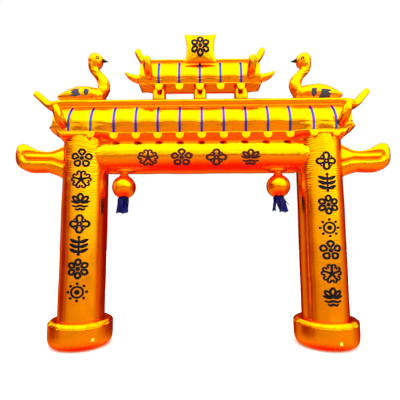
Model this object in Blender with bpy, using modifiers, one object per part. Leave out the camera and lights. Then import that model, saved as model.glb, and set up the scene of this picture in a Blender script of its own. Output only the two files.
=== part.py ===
"""Inflatable ceremonial gate arch: two columns, a beam and two hipped roofs of air-filled gold cloth.

Metres, +Z up. The origin is on the ground, midway between the columns. The front faces -Y.
Every chamber is a closed solid in the form that the air gives it. Neighbours keep GAP apart.
"""
import math

import bmesh
import bpy
from mathutils import Vector

# --- driving dimensions ------------------------------------------------------------------
GAP = 0.0003            # clearance between pieces that are sewn or tied together
SPAN = 1.85             # column axis, from the middle of the arch
COLUMN_R = 0.347
COLUMN_TOP = 3.240      # crown of the column, inside the roof
BASE_R = 0.470
BASE_TOP = 0.385
BEAM_R = 0.280
BEAM_Z = 2.875
RIDGE_BOTTOM = 3.630    # the roof's flat top, which carries the ridge cushion
RIDGE_TOP = 3.778       # what the posts and the birds stand on
UPPER_FLOOR = 4.012     # flat underside of the upper roof
UPPER_TOP = 4.395       # flat top of the upper roof
UPPER_SHIFT = -0.026    # the upper roof and its posts stand a little left of the middle
RIDGE_SHIFT = -0.016    # and so does the lower ridge
POST_X = 0.665
POST_W = 0.208
POST_D = 0.200
LANTERN_X = {"left": -1.240, "right": 1.202}
LANTERN_Z = 2.382
LANTERN_R = 0.180
EAVE_SHEET = 0.003      # thickness of the eave strips and their tongues

# --- named rows --------------------------------------------------------------------------
# A turned profile is (radius, height), from the top of the piece to its foot.
COLUMN_PROFILE = [(0.0, COLUMN_TOP), (0.200, 3.220), (0.310, 3.160), (COLUMN_R, 3.070),
                  (COLUMN_R, 1.700), (COLUMN_R, 0.420), (0.342, BASE_TOP + GAP), (0.0, BASE_TOP + GAP)]
BASE_PROFILE = [(0.0, BASE_TOP), (0.352, BASE_TOP), (0.400, 0.372), (0.441, 0.341), (0.464, 0.296),
                (BASE_R, 0.200), (0.466, 0.100), (0.448, 0.030), (0.405, 0.0), (0.0, 0.0)]

# Roofs: half depth and height of the face, from its top to the eave seam, then of the underside.
LOWER_ROOF = {
    "half_length": 2.272, "pitch": 0.337, "top": RIDGE_BOTTOM, "bay": 0.014, "column_push": 0.075,
    "face": [(0.182, RIDGE_BOTTOM), (0.258, 3.535), (0.298, 3.440), (0.310, 3.370), (0.302, 3.308),
             (0.270, 3.190)],
    "under": [(0.262, 3.110), (0.235, 3.020), (0.110, 2.960)],
    "end_under": [(0.270, 3.120), (0.200, 3.072), (0.100, 3.055)],
    "end_lift": 0.050, "end_under_lift": 0.135, "corner": 0.034,
}
UPPER_ROOF = {
    "half_length": 0.955, "pitch": 0.327, "top": UPPER_TOP, "bay": 0.012, "column_push": 0.0,
    "face": [(0.115, UPPER_TOP), (0.170, 4.310), (0.202, 4.205), (0.212, 4.135), (0.204, 4.088),
             (0.182, 4.018)],
    "under": [(0.140, UPPER_FLOOR), (0.095, UPPER_FLOOR), (0.050, UPPER_FLOOR)],
    "end_under": [(0.140, UPPER_FLOOR), (0.095, UPPER_FLOOR), (0.050, UPPER_FLOOR)],
    "end_lift": 0.030, "end_under_lift": 0.0, "corner": 0.030,
}

# Swept rows are (x, y, z, half height, half width) along the right-hand piece.
LOWER_RIDGE_END = [(2.290, 0, 3.7042, 0.0744, 0.185), (2.390, 0, 3.708, 0.071, 0.148),
                   (2.475, 0, 3.744, 0.063, 0.104), (2.555, 0, 3.812, 0.058, 0.074),
                   (2.636, 0, 3.886, 0.055, 0.058), (2.690, 0, 3.932, 0.052, 0.052),
                   (2.720, 0, 3.957, 0.036, 0.036), (2.732, 0, 3.968, 0.014, 0.014)]
UPPER_RIDGE_END = [(0.820, 0, 4.437, 0.042, 0.115), (0.885, 0, 4.446, 0.045, 0.098),
                   (0.938, 0, 4.486, 0.050, 0.076), (0.982, 0, 4.556, 0.054, 0.062),
                   (1.018, 0, 4.628, 0.054, 0.056), (1.037, 0, 4.670, 0.045, 0.046),
                   (1.046, 0, 4.692, 0.028, 0.028), (1.050, 0, 4.701, 0.010, 0.010)]
LOWER_HORN = [(2.080, -0.240, 3.262, 0.050, 0.050), (2.100, -0.340, 3.285, 0.062, 0.062),
              (2.120, -0.415, 3.350, 0.070, 0.070), (2.145, -0.452, 3.435, 0.067, 0.067),
              (2.160, -0.470, 3.505, 0.056, 0.056), (2.165, -0.480, 3.548, 0.036, 0.036),
              (2.167, -0.484, 3.562, 0.013, 0.013)]
UPPER_HORN = [(0.790, -0.150, 4.110, 0.046, 0.046), (0.798, -0.240, 4.122, 0.058, 0.058),
              (0.806, -0.310, 4.180, 0.066, 0.066), (0.812, -0.348, 4.262, 0.066, 0.066),
              (0.815, -0.368, 4.330, 0.055, 0.055), (0.816, -0.378, 4.364, 0.035, 0.035),
              (0.816, -0.382, 4.376, 0.012, 0.012)]
SIDE_HORN = [(0.900, 0, 4.190, 0.074, 0.060), (1.000, 0, 4.182, 0.073, 0.060),
             (1.090, 0, 4.200, 0.062, 0.054), (1.165, 0, 4.240, 0.042, 0.040),
             (1.222, 0, 4.285, 0.018, 0.018), (1.240, 0, 4.302, 0.007, 0.007)]
BIRD_BODY = [(2.358, 0, 3.878, 0.016, 0.024), (2.335, 0, 3.876, 0.040, 0.052),
             (2.234, 0, 3.886, 0.084, 0.092), (2.122, 0, 3.895, 0.127, 0.124),
             (1.986, 0, 3.908, 0.150, 0.144), (1.861, 0, 3.902, 0.147, 0.150),
             (1.740, 0, 3.896, 0.132, 0.144), (1.650, 0, 3.896, 0.114, 0.120),
             (1.595, 0, 3.908, 0.078, 0.084), (1.560, 0, 3.916, 0.030, 0.034)]
BIRD_NECK = [(1.760, 0, 3.880, 0.060, 0.080), (1.660, 0, 3.920, 0.092, 0.104),
             (1.608, 0, 3.985, 0.098, 0.104), (1.600, 0, 4.045, 0.097, 0.100),
             (1.612, 0, 4.110, 0.093, 0.094), (1.660, 0, 4.206, 0.080, 0.084),
             (1.722, 0, 4.280, 0.071, 0.078), (1.768, 0, 4.350, 0.080, 0.082),
             (1.774, 0, 4.411, 0.102, 0.096), (1.757, 0, 4.473, 0.124, 0.110),
             (1.753, 0, 4.540, 0.121, 0.110), (1.752, 0, 4.594, 0.092, 0.090),
             (1.748, 0, 4.623, 0.052, 0.052), (1.744, 0, 4.636, 0.018, 0.018)]
BIRD_SHIFT = {"left": (0.0, 0.0), "right": (-0.072, -0.034)}    # along X outward, and up at the head
BEAK_ROOT, BEAK_TIP, BEAK_R = (1.655, 4.514), (1.541, 4.490), 0.034

# Scrolls at the columns: x, bottom and top of the outline, half thickness.
SCROLL = [(2.060, 2.480, 3.090, 0.100), (2.190, 2.505, 3.070, 0.108), (2.260, 2.548, 3.034, 0.110),
          (2.350, 2.582, 2.990, 0.108), (2.450, 2.612, 2.962, 0.104), (2.560, 2.613, 2.964, 0.104),
          (2.660, 2.612, 2.984, 0.108), (2.760, 2.620, 3.030, 0.112), (2.850, 2.652, 3.078, 0.112),
          (2.915, 2.690, 3.086, 0.104), (2.958, 2.728, 3.066, 0.088), (2.985, 2.772, 3.022, 0.062),
          (3.000, 2.838, 2.950, 0.028)]
SCROLL_SHIFT = {"left": (-0.018, 0.010), "right": (-0.018, -0.020)}    # along X outward, and up
SCROLL_CHANNEL = {"top": 2.925, "bottom": 2.808, "outer": 2.790, "root_spread": 0.060,
                  "depth": 0.034, "width": 0.030}

# Lantern ribbons: direction in degrees, length, lean outward, width.
RIBBONS = [(5, 0.226, 0.034, 0.030), (62, 0.205, 0.046, 0.026), (118, 0.240, 0.030, 0.030),
           (180, 0.214, 0.042, 0.030), (238, 0.236, 0.034, 0.032), (300, 0.244, 0.030, 0.034)]

GOLD = (0.92, 0.46, 0.03)
BLACK = (0.012, 0.012, 0.014)
NAVY = (0.008, 0.010, 0.090)

TURN_STEPS = 30


# --- scene, collections and materials ----------------------------------------------------
def clear_scene():
    for obj in list(bpy.data.objects):
        bpy.data.objects.remove(obj, do_unlink=True)


def collection(name):
    made = bpy.data.collections.new(name)
    bpy.context.scene.collection.children.link(made)
    return made


def finish(name, colour, roughness, metallic):
    material = bpy.data.materials.new(name)
    material.use_nodes = True
    shader = material.node_tree.nodes["Principled BSDF"]
    shader.inputs["Base Color"].default_value = (*colour, 1.0)
    shader.inputs["Roughness"].default_value = roughness
    shader.inputs["Metallic"].default_value = metallic
    return material


def gold_cloth(name):
    return finish(name + "_gold_cloth", GOLD, 0.30, 1.0)


# --- tools -------------------------------------------------------------------------------
def place(name, mesh, material, group):
    """Link a mesh as a named, smooth-shaded object."""
    mesh.materials.append(material)
    mesh.shade_smooth()
    mesh.set_sharp_from_angle(angle=math.radians(40))
    obj = bpy.data.objects.new(name, mesh)
    group.objects.link(obj)
    return obj


def closed_shape(shape, mesh):
    """Turn every face outward and hand the shape over to the mesh."""
    bmesh.ops.recalc_face_normals(shape, faces=shape.faces)
    if shape.calc_volume(signed=True) < 0:
        bmesh.ops.reverse_faces(shape, faces=shape.faces)
    shape.to_mesh(mesh)
    shape.free()


def as_cutter(obj):
    obj.hide_render = True
    obj.display_type = "WIRE"
    return obj


def cut(obj, *cutters):
    for cutter in cutters:
        modifier = obj.modifiers.new("cut by " + cutter.name, "BOOLEAN")
        modifier.operation = "DIFFERENCE"
        modifier.object = cutter


def turned(name, profile, material, group, steps=TURN_STEPS):
    """Revolve (radius, height) rows about Z."""
    mesh = bpy.data.meshes.new(name)
    mesh.from_pydata([(radius, 0.0, height) for radius, height in profile],
                     [(i, i + 1) for i in range(len(profile) - 1)], [])
    obj = place(name, mesh, material, group)
    screw = obj.modifiers.new("turn", "SCREW")
    screw.steps = steps
    screw.render_steps = steps
    screw.use_merge_vertices = True
    screw.merge_threshold = 0.0001
    screw.use_smooth_shade = True
    return obj


def at(rows, x):
    """Straight-line reading of a table whose first column is x."""
    for low, high in zip(rows, rows[1:]):
        if x <= high[0]:
            share = max(0.0, (x - low[0]) / (high[0] - low[0]))
            return [a + (b - a) * share for a, b in zip(low, high)]
    return list(rows[-1])


def ease(value):
    value = min(max(value, 0.0), 1.0)
    return value * value * (3 - 2 * value)


def loft(name, rings, material, group):
    """Skin rings of equal count with triangles and close both ends."""
    mesh = bpy.data.meshes.new(name)
    shape = bmesh.new()
    loops = [[shape.verts.new(point) for point in ring] for ring in rings]
    for near, far in zip(loops, loops[1:]):
        for i in range(len(near)):
            j = (i + 1) % len(near)
            shape.faces.new((near[i], near[j], far[j]))
            shape.faces.new((near[i], far[j], far[i]))
    shape.faces.new(loops[0])
    shape.faces.new(loops[-1])
    closed_shape(shape, mesh)
    return place(name, mesh, material, group)


def swept_rings(rows, sides, side=(0, 1, 0), roundness=1.0):
    """Rings square to the path; a roundness below 1 makes the section boxier."""
    rings = []
    for i, (x, y, z, half_up, half_side) in enumerate(rows):
        ahead = Vector(rows[min(i + 1, len(rows) - 1)][:3])
        behind = Vector(rows[max(i - 1, 0)][:3])
        along = (ahead - behind).normalized()
        up = Vector(side).cross(along).normalized()
        across = along.cross(up)
        ring = []
        for k in range(sides):
            angle = 2 * math.pi * (k + 0.5) / sides
            c, s = math.cos(angle), math.sin(angle)
            c = math.copysign(abs(c) ** roundness, c)
            s = math.copysign(abs(s) ** roundness, s)
            ring.append(Vector((x, y, z)) + across * (half_side * c) + up * (half_up * s))
        rings.append(ring)
    return rings


def mirrored(rows, sign_x, sign_y=1):
    return [(sign_x * row[0], sign_y * row[1], *row[2:]) for row in rows]


def settled(rows, side):
    """Bird rows of one side: moved along X, the neck eased up or down towards the head."""
    shift, lift = BIRD_SHIFT[side]
    return [(x + shift, y, z + lift * ease((z - 3.95) / 0.5), up, across) for x, y, z, up, across in rows]


# --- bases, columns and beam -------------------------------------------------------------
def add_bases(group):
    for name, sign in (("left", -1), ("right", 1)):
        base = turned("base_" + name, BASE_PROFILE, gold_cloth("base_" + name), group)
        base.location.x = sign * SPAN


def add_columns(group):
    for name, sign in (("left", -1), ("right", 1)):
        column = turned("column_" + name, COLUMN_PROFILE, gold_cloth("column_" + name), group)
        column.location.x = sign * SPAN


def column_cutters(group):
    """The columns, fuller by the clearance."""
    made = []
    for name, sign in (("left", -1), ("right", 1)):
        profile = [(radius + GAP if radius else 0.0, height + GAP) for radius, height in COLUMN_PROFILE]
        cutter = turned("cut_column_" + name, profile, gold_cloth("cut_column"), group)
        cutter.location.x = sign * SPAN
        made.append(as_cutter(cutter))
    return made


def beam_tube(name, radius, half_length, group):
    """A tube along X. Its local +Z lies along world +X."""
    profile = [(0.0, half_length), (radius, half_length), (radius, 0.0), (radius, -half_length),
               (0.0, -half_length)]
    tube = turned(name, profile, gold_cloth(name), group)
    tube.rotation_euler.y = math.pi / 2
    tube.location.z = BEAM_Z
    return tube


# --- roofs -------------------------------------------------------------------------------
def column_nearness(x):
    """1 over a column, 0 in the open span."""
    return ease((abs(x) - 1.32) / 0.26) * (1 - 0.55 * ease((abs(x) - 2.10) / 0.19))


def roof_ring(roof, x, grow=0.0):
    """Points round the roof at x: down the front, along the underside, up the back."""
    reach = abs(x)
    end = ease((reach - roof["half_length"] + 0.14) / 0.14)
    puff = roof["bay"] * abs(math.sin(math.pi * x / roof["pitch"])) ** 0.7
    push = roof["column_push"] * column_nearness(x)
    eave = roof["face"][-1][1]
    front = []
    for depth, height in roof["face"]:
        share = (roof["top"] - height) / (roof["top"] - eave)
        out = depth + push * share + puff * math.sin(math.pi * min(share, 1.0)) + 0.02 * end * share
        front.append((out + grow, height + roof["end_lift"] * end * share ** 3))
    over_column = ease((reach - 1.64) / 0.10)
    for (depth, height), (end_depth, end_height) in zip(roof["under"], roof["end_under"]):
        depth += (end_depth - depth) * over_column + 0.9 * push * (depth > 0.2)
        height += (end_height - height) * over_column + roof["end_under_lift"] * end
        front.append((depth, height - grow))
    front[0] = (front[0][0], front[0][1] + grow)
    points = [(-depth, height) for depth, height in front]
    points.append((0.0, front[-1][1]))
    points += [(depth, height) for depth, height in reversed(front)]
    return points


def roof_stations(roof):
    """Where the rings stand: three spans to a bay, closer at the ends."""
    half = roof["half_length"]
    near_end = [half - 0.14, half - 0.07, half - 0.02]
    bays = int(half / roof["pitch"])
    inner = [(k + share) * roof["pitch"] for k in range(-bays, bays + 1) for share in (0.0, 0.3, 0.7)]
    inner = [x for x in inner if abs(x) < near_end[0] - 0.03]
    return sorted([-x for x in near_end] + inner + near_end)


def roof_body(name, roof, group, grow=0.0):
    """Loft of roof rings. The eave corners point outward and the ends are nearly flat."""
    half, top, eave = roof["half_length"], roof["top"], roof["face"][-1][1]
    rings = [[(x, y, z) for y, z in roof_ring(roof, x, grow)] for x in roof_stations(roof)]
    middle = (top + eave) / 2
    for sign in (1, -1):
        edge = roof_ring(roof, half, grow)
        for share, reach in ((1.0, 0.0), (0.62, 0.004), (0.25, 0.008)):
            ring = []
            for y, z in edge:
                below = min(max((top - z) / (top - eave), 0.0), 1.0)
                out = half + reach + grow + roof["corner"] * below ** 6 * max(0.0, 2 * share - 1)
                ring.append((sign * out, y * share, middle + (z - middle) * share))
            if sign > 0:
                rings.append(ring)
            else:
                rings.insert(0, ring)
    return loft(name, rings, gold_cloth(name), group)


def ridge_rows(end_rows, half_flat):
    """Rows of a whole ridge: left horn, flat length, right horn."""
    right = list(end_rows)
    flat = [(share * half_flat, *end_rows[0][1:]) for share in (-0.66, -0.33, 0.0, 0.33, 0.66)]
    return mirrored(right, -1)[::-1] + flat + right


def add_ridge(name, end_rows, roundness, group):
    rows = ridge_rows(end_rows, end_rows[0][0])
    return loft(name, swept_rings(rows, 16, roundness=roundness), gold_cloth(name), group)


def shifted(obj, along_x):
    obj.location.x = along_x
    return obj


def add_horns(prefix, rows, group, cutter, along_x=0.0):
    """Four hip horns, front and back of each end, cut to the roof they spring from."""
    for end, sign_x in (("left", -1), ("right", 1)):
        for face, sign_y in (("front", 1), ("back", -1)):
            name = f"{prefix}_{face}_{end}"
            path = mirrored(rows, sign_x, sign_y)
            horn = loft(name, swept_rings(path, 10, side=(1, 0, 0)), gold_cloth(name), group)
            cut(shifted(horn, along_x), cutter)


def add_side_horns(group, cutter):
    for end, sign in (("left", -1), ("right", 1)):
        name = "side_horn_" + end
        path = mirrored(SIDE_HORN, sign)
        horn = loft(name, swept_rings(path, 12), gold_cloth(name), group)
        cut(shifted(horn, UPPER_SHIFT), cutter)


def add_eave_trim(name, roof, stripes, face_sign, band_drop, tongue, group):
    """A seam strip, with a round-ended tongue hanging under each of the stripes given."""
    width, drop = tongue
    seam_row = len(roof["face"]) - 1
    eave = []
    for x in roof_stations(roof)[2:-2]:
        depth, seam = roof_ring(roof, x)[seam_row]
        eave.append((x, -depth, seam))
    marks = {row[0] for row in eave}
    for k in stripes:
        middle = k * roof["pitch"]
        marks = {x for x in marks if abs(x - middle) > width / 2 + 0.008}
        marks.update(middle + width / 2 * math.sin(math.radians(a)) for a in (-90, -55, 0, 55, 90))
        marks.update((middle - width / 2 - 0.002, middle + width / 2 + 0.002))
    rings = []
    for x in sorted(marks):
        depth, seam = at(eave, x)[1:]
        low = seam - band_drop
        for k in stripes:
            share = abs(x - k * roof["pitch"]) / (width / 2)
            if share <= 1.0001:
                curve = math.sqrt(max(0.0, 1 - share ** 2))
                low = seam - band_drop - (drop - band_drop) * (0.35 + 0.65 * curve)
        inner = face_sign * (depth + 0.001)
        outer = face_sign * (depth + 0.001 + EAVE_SHEET)
        rings.append([(x, inner, seam), (x, outer, seam), (x, outer, low), (x, inner, low)])
    return loft(name, rings, gold_cloth(name), group)


# --- posts, tablet and scrolls -----------------------------------------------------------
def add_posts(group):
    """Three soft square posts between the lower ridge and the upper roof."""
    height = UPPER_FLOOR - RIDGE_TOP - 2 * GAP
    for name, x in (("left", -POST_X), ("middle", 0.0), ("right", POST_X)):
        mesh = bpy.data.meshes.new("post_" + name)
        shape = bmesh.new()
        bmesh.ops.create_cube(shape, size=1.0)
        bmesh.ops.scale(shape, vec=(POST_W, POST_D, height), verts=shape.verts)
        shape.to_mesh(mesh)
        shape.free()
        post = place("post_" + name, mesh, gold_cloth("post_" + name), group)
        post.location = (UPPER_SHIFT + x, 0.0, RIDGE_TOP + GAP + height / 2)
        bevel = post.modifiers.new("soft edges", "BEVEL")
        bevel.width = 0.028
        bevel.segments = 2
        bevel.limit_method = "ANGLE"


def add_tablet(group):
    """A square air cushion, its sides drawn in between four sharp corners."""
    half_width, half_height, draw_in, sides = 0.262, 0.250, 0.135, 32
    middle = Vector((-0.016, -0.201, 4.587))
    layers = [(-0.086, 0.12), (-0.082, 0.42), (-0.066, 0.70), (-0.034, 0.90), (0.0, 1.0)]
    layers += [(-y, share) for y, share in reversed(layers[:-1])]
    rings = []
    for y, share in layers:
        ring = []
        for k in range(sides):
            angle = 2 * math.pi * k / sides
            u, v = math.cos(angle), math.sin(angle)
            square = 1 / max(abs(u), abs(v))
            waist = 1 - draw_in * abs(math.cos(2 * angle)) ** 0.8
            round_off = 1 - 0.30 * (1 - share) * abs(math.sin(2 * angle))
            reach = share * square * waist * round_off
            ring.append(middle + Vector((u * reach * half_width, y, v * reach * half_height)))
        rings.append(ring)
    return loft("tablet", rings, gold_cloth("tablet"), group)


def scroll_sections(side):
    """The scroll rows of one side, eased from the column out to that side's own reach and height."""
    shift, lift = SCROLL_SHIFT[side]
    rows = []
    for x, bottom, top, thick in SCROLL:
        share = ease((x - SCROLL[0][0]) / 0.6)
        rows.append((x + shift * share, bottom + lift * share, top + lift * share, thick, x))
    return rows


def channel_depth(x, z):
    """Depth of the sewn channel, which runs out along the top of the lobe and back under it."""
    channel = SCROLL_CHANNEL
    middle = (channel["top"] + channel["bottom"]) / 2
    half = (channel["top"] - channel["bottom"]) / 2
    spread = channel["root_spread"] * ease((2.42 - x) / 0.22)
    if x > channel["outer"]:
        off = abs(math.hypot(x - channel["outer"], z - middle) - half)
    else:
        off = abs(abs(z - middle) - half - spread)
    return channel["depth"] * math.exp(-(off / channel["width"]) ** 2)


def add_scrolls(group, cutters):
    """Flat air-filled scrolls, lofted along X, with one sewn channel on each face."""
    sides = 24
    for (name, sign), cutter in zip((("left", -1), ("right", 1)), cutters):
        rings = []
        for x, bottom, top, thick, plain_x in scroll_sections(name):
            lift = SCROLL_SHIFT[name][1] * ease((plain_x - SCROLL[0][0]) / 0.6)
            ring = []
            for k in range(sides):
                angle = 2 * math.pi * (k + 0.5) / sides
                across, out = math.sin(angle), math.cos(angle)
                z = (top + bottom) / 2 + across * (top - bottom) / 2
                y = math.copysign(abs(out) ** 0.8, out) * thick
                y -= math.copysign(min(channel_depth(plain_x, z - lift), 0.7 * abs(y)), out)
                ring.append((sign * x, y, z))
            rings.append(ring)
        scroll = loft("scroll_" + name, rings, gold_cloth("scroll_" + name), group)
        cut(scroll, cutter)


# --- birds -------------------------------------------------------------------------------
def add_birds(group, tools):
    """Long-necked water birds: body and neck are joined, and the body is flat where it sits."""
    for name, sign in (("left", -1), ("right", 1)):
        body_rows = mirrored(settled(BIRD_BODY, name), sign)
        rings = [[(p.x, p.y, max(p.z, RIDGE_TOP + GAP)) for p in ring]
                 for ring in swept_rings(body_rows, 16)]
        bird = loft("bird_" + name, rings, gold_cloth("bird_" + name), group)
        neck_rows = mirrored(settled(BIRD_NECK, name), sign)
        neck = loft("join_neck_" + name, swept_rings(neck_rows, 14), gold_cloth("neck"), tools)
        join = bird.modifiers.new("neck", "BOOLEAN")
        join.operation = "UNION"
        join.object = as_cutter(neck)
        fuller = [(x, y, z, up + GAP, across + GAP) for x, y, z, up, across in neck_rows]
        hollow = loft("cut_neck_" + name, swept_rings(fuller, 14), gold_cloth("neck"), tools)
        add_beak(name, sign, as_cutter(hollow), group)


def add_beak(name, sign, hollow, group):
    """A short stuffed cone, seated on the head."""
    shift, lift = BIRD_SHIFT[name]
    root = Vector((sign * (BEAK_ROOT[0] + shift), 0.0, BEAK_ROOT[1] + lift))
    tip = Vector((sign * (BEAK_TIP[0] + shift), 0.0, BEAK_TIP[1] + lift))
    mesh = bpy.data.meshes.new("beak_" + name)
    shape = bmesh.new()
    bmesh.ops.create_cone(shape, cap_ends=True, segments=12, radius1=BEAK_R, radius2=0.004,
                          depth=(tip - root).length)
    shape.to_mesh(mesh)
    shape.free()
    beak = place("beak_" + name, mesh, finish("beak_" + name + "_black", BLACK, 0.45, 0.0), group)
    beak.location = (root + tip) / 2
    beak.rotation_euler = (tip - root).to_track_quat("Z", "Y").to_euler()
    cut(beak, hollow)


# --- lanterns ----------------------------------------------------------------------------
def add_lanterns(group, tools, beam_cutter):
    for name, x in LANTERN_X.items():
        mesh = bpy.data.meshes.new("lantern_ball_" + name)
        shape = bmesh.new()
        bmesh.ops.create_uvsphere(shape, u_segments=22, v_segments=11, radius=LANTERN_R)
        shape.to_mesh(mesh)
        shape.free()
        ball = place("lantern_ball_" + name, mesh, gold_cloth("lantern_ball_" + name), group)
        ball.location = (x, 0.0, LANTERN_Z)
        hollow = as_cutter(place("cut_ball_" + name, mesh.copy(), gold_cloth("cut_ball"), tools))
        hollow.location = ball.location
        hollow.scale = [1 + 2 * GAP / LANTERN_R] * 3
        collar_profile = [(0.0, 2.760), (0.058, 2.760), (0.060, 2.595), (0.080, 2.548), (0.078, 2.520),
                          (0.0, 2.520)]
        collar = turned("lantern_collar_" + name, collar_profile,
                        gold_cloth("lantern_collar_" + name), group, steps=20)
        collar.location.x = x
        cut(collar, hollow, beam_cutter)
        add_ribbons(name, x, group, tools)


def add_ribbons(name, x, group, tools):
    """Loose dark ribbons, fused at their roots into a small flat knot under the ball."""
    knot_top = LANTERN_Z - LANTERN_R - GAP
    knot_profile = [(0.0, knot_top), (0.048, knot_top), (0.050, knot_top - 0.014), (0.0, knot_top - 0.014)]
    knot = turned("lantern_ribbons_" + name, knot_profile,
                  finish("ribbons_" + name + "_navy", NAVY, 0.5, 0.0), group, steps=16)
    knot.location.x = x
    for number, (degrees, length, lean, width) in enumerate(RIBBONS):
        heading = math.radians(degrees)
        out = Vector((math.cos(heading), math.sin(heading), 0.0))
        side = Vector((-out.y, out.x, 0.0))
        root = Vector((0.0, 0.0, knot_top - 0.007)) + out * 0.036
        rings = []
        for step in range(4):
            share = step / 3
            middle = root + out * (lean * math.sin(share * math.pi / 2)) - Vector((0, 0, length * share))
            half = width / 2 * (0.9 + 0.25 * share)
            thick = 0.0016
            rings.append([middle + side * half + out * thick, middle - side * half + out * thick,
                          middle - side * half - out * thick, middle + side * half - out * thick])
        strip = loft(f"join_ribbon_{name}_{number}", rings, gold_cloth("ribbon"), tools)
        strip.location.x = x
        join = knot.modifiers.new(f"ribbon {number}", "BOOLEAN")
        join.operation = "UNION"
        join.object = as_cutter(strip)


# --- tie tabs ----------------------------------------------------------------------------
def add_tie_tabs(group):
    """A small sewn tab on the front of each base, for a guy line."""
    for name, x, z, degrees in (("left", -SPAN, 0.165, -50), ("right", SPAN, 0.135, -86)):
        outline = [(-0.022, 0.022), (0.022, 0.022), (0.026, -0.012), (0.012, -0.028), (-0.012, -0.028),
                   (-0.026, -0.012)]
        flat = bpy.data.curves.new("tie_tab_" + name, "CURVE")
        flat.dimensions = "2D"
        flat.fill_mode = "BOTH"
        flat.extrude = 0.0015
        line = flat.splines.new("POLY")
        line.points.add(len(outline) - 1)
        for point, (across, up) in zip(line.points, outline):
            point.co = (across, up, 0.0, 1.0)
        line.use_cyclic_u = True
        tab = bpy.data.objects.new("tie_tab_" + name, flat)
        flat.materials.append(gold_cloth("tie_tab_" + name))
        group.objects.link(tab)
        heading = math.radians(degrees)
        reach = BASE_R + 0.0025
        tab.location = (x + reach * math.cos(heading), reach * math.sin(heading), z)
        tab.rotation_euler = (math.pi / 2, 0.0, heading + math.pi / 2)


# --- assembly ----------------------------------------------------------------------------
def main():
    clear_scene()
    group = collection("inflatable_arch")
    tools = collection("cutters")
    cut_columns = column_cutters(tools)
    cut_beam = as_cutter(beam_tube("cut_beam", BEAM_R + GAP, SPAN, tools))
    cut_lower = as_cutter(roof_body("cut_roof_lower", LOWER_ROOF, tools, grow=GAP))
    cut_upper = as_cutter(shifted(roof_body("cut_roof_upper", UPPER_ROOF, tools, grow=GAP), UPPER_SHIFT))

    add_bases(group)
    add_columns(group)
    cut(beam_tube("beam", BEAM_R, SPAN, group), *cut_columns)
    cut(roof_body("roof_lower", LOWER_ROOF, group), cut_beam, *cut_columns)
    shifted(roof_body("roof_upper", UPPER_ROOF, group), UPPER_SHIFT)
    shifted(add_ridge("ridge_lower", LOWER_RIDGE_END, 0.40, group), RIDGE_SHIFT)
    shifted(add_ridge("ridge_upper", UPPER_RIDGE_END, 0.62, group), UPPER_SHIFT)
    add_horns("hip_lower", LOWER_HORN, group, cut_lower)
    add_horns("hip_upper", UPPER_HORN, group, cut_upper, UPPER_SHIFT)
    add_side_horns(group, cut_upper)
    add_eave_trim("eave_trim_lower_front", LOWER_ROOF, range(-5, 7), -1, 0.018, (0.124, 0.112), group)
    add_eave_trim("eave_trim_lower_back", LOWER_ROOF, (), 1, 0.018, (0.124, 0.112), group)
    shifted(add_eave_trim("eave_trim_upper_front", UPPER_ROOF, range(-2, 3), -1, 0.014, (0.120, 0.126),
                          group), UPPER_SHIFT)
    shifted(add_eave_trim("eave_trim_upper_back", UPPER_ROOF, (), 1, 0.014, (0.120, 0.126), group),
            UPPER_SHIFT)
    add_posts(group)
    add_tablet(group)
    add_scrolls(group, cut_columns)
    add_birds(group, tools)
    add_lanterns(group, tools, cut_beam)
    add_tie_tabs(group)


main()
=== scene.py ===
"""Looks for the inflatable gate arch, laid out as an add-on: gold metallised cloth, blue bands,
printed ornaments, birds, scrolls and hanging lanterns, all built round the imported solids.
"""
import math

import bmesh
import bpy
from bpy.props import FloatProperty, FloatVectorProperty, PointerProperty
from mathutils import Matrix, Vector, noise


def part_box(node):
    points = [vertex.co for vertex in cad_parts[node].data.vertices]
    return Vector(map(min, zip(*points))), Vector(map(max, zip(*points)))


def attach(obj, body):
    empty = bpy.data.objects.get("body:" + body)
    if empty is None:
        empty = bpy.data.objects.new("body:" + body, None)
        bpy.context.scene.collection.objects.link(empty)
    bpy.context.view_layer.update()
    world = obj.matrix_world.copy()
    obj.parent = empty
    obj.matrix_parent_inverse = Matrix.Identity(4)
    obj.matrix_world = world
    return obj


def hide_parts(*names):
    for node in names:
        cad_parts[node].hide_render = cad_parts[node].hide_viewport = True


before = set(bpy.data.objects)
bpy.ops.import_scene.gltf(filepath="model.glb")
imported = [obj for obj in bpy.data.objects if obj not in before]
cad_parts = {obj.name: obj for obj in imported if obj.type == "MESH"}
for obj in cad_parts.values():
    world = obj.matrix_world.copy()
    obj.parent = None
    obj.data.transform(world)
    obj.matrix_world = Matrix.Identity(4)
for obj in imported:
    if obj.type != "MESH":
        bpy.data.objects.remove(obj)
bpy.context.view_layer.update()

bl_info = {
    "name": "Inflatable gate arch",
    "version": (1, 0, 0),
    "blender": (4, 5, 0),
    "location": "3D View > Sidebar > Gate arch",
    "description": "Builds the visible cloth pieces of an inflatable gate arch",
    "category": "Add Mesh",
}


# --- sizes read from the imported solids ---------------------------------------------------
def middle_of(node):
    low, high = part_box(node)
    return (low + high) / 2


def size_of(node):
    low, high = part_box(node)
    return high - low


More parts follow.
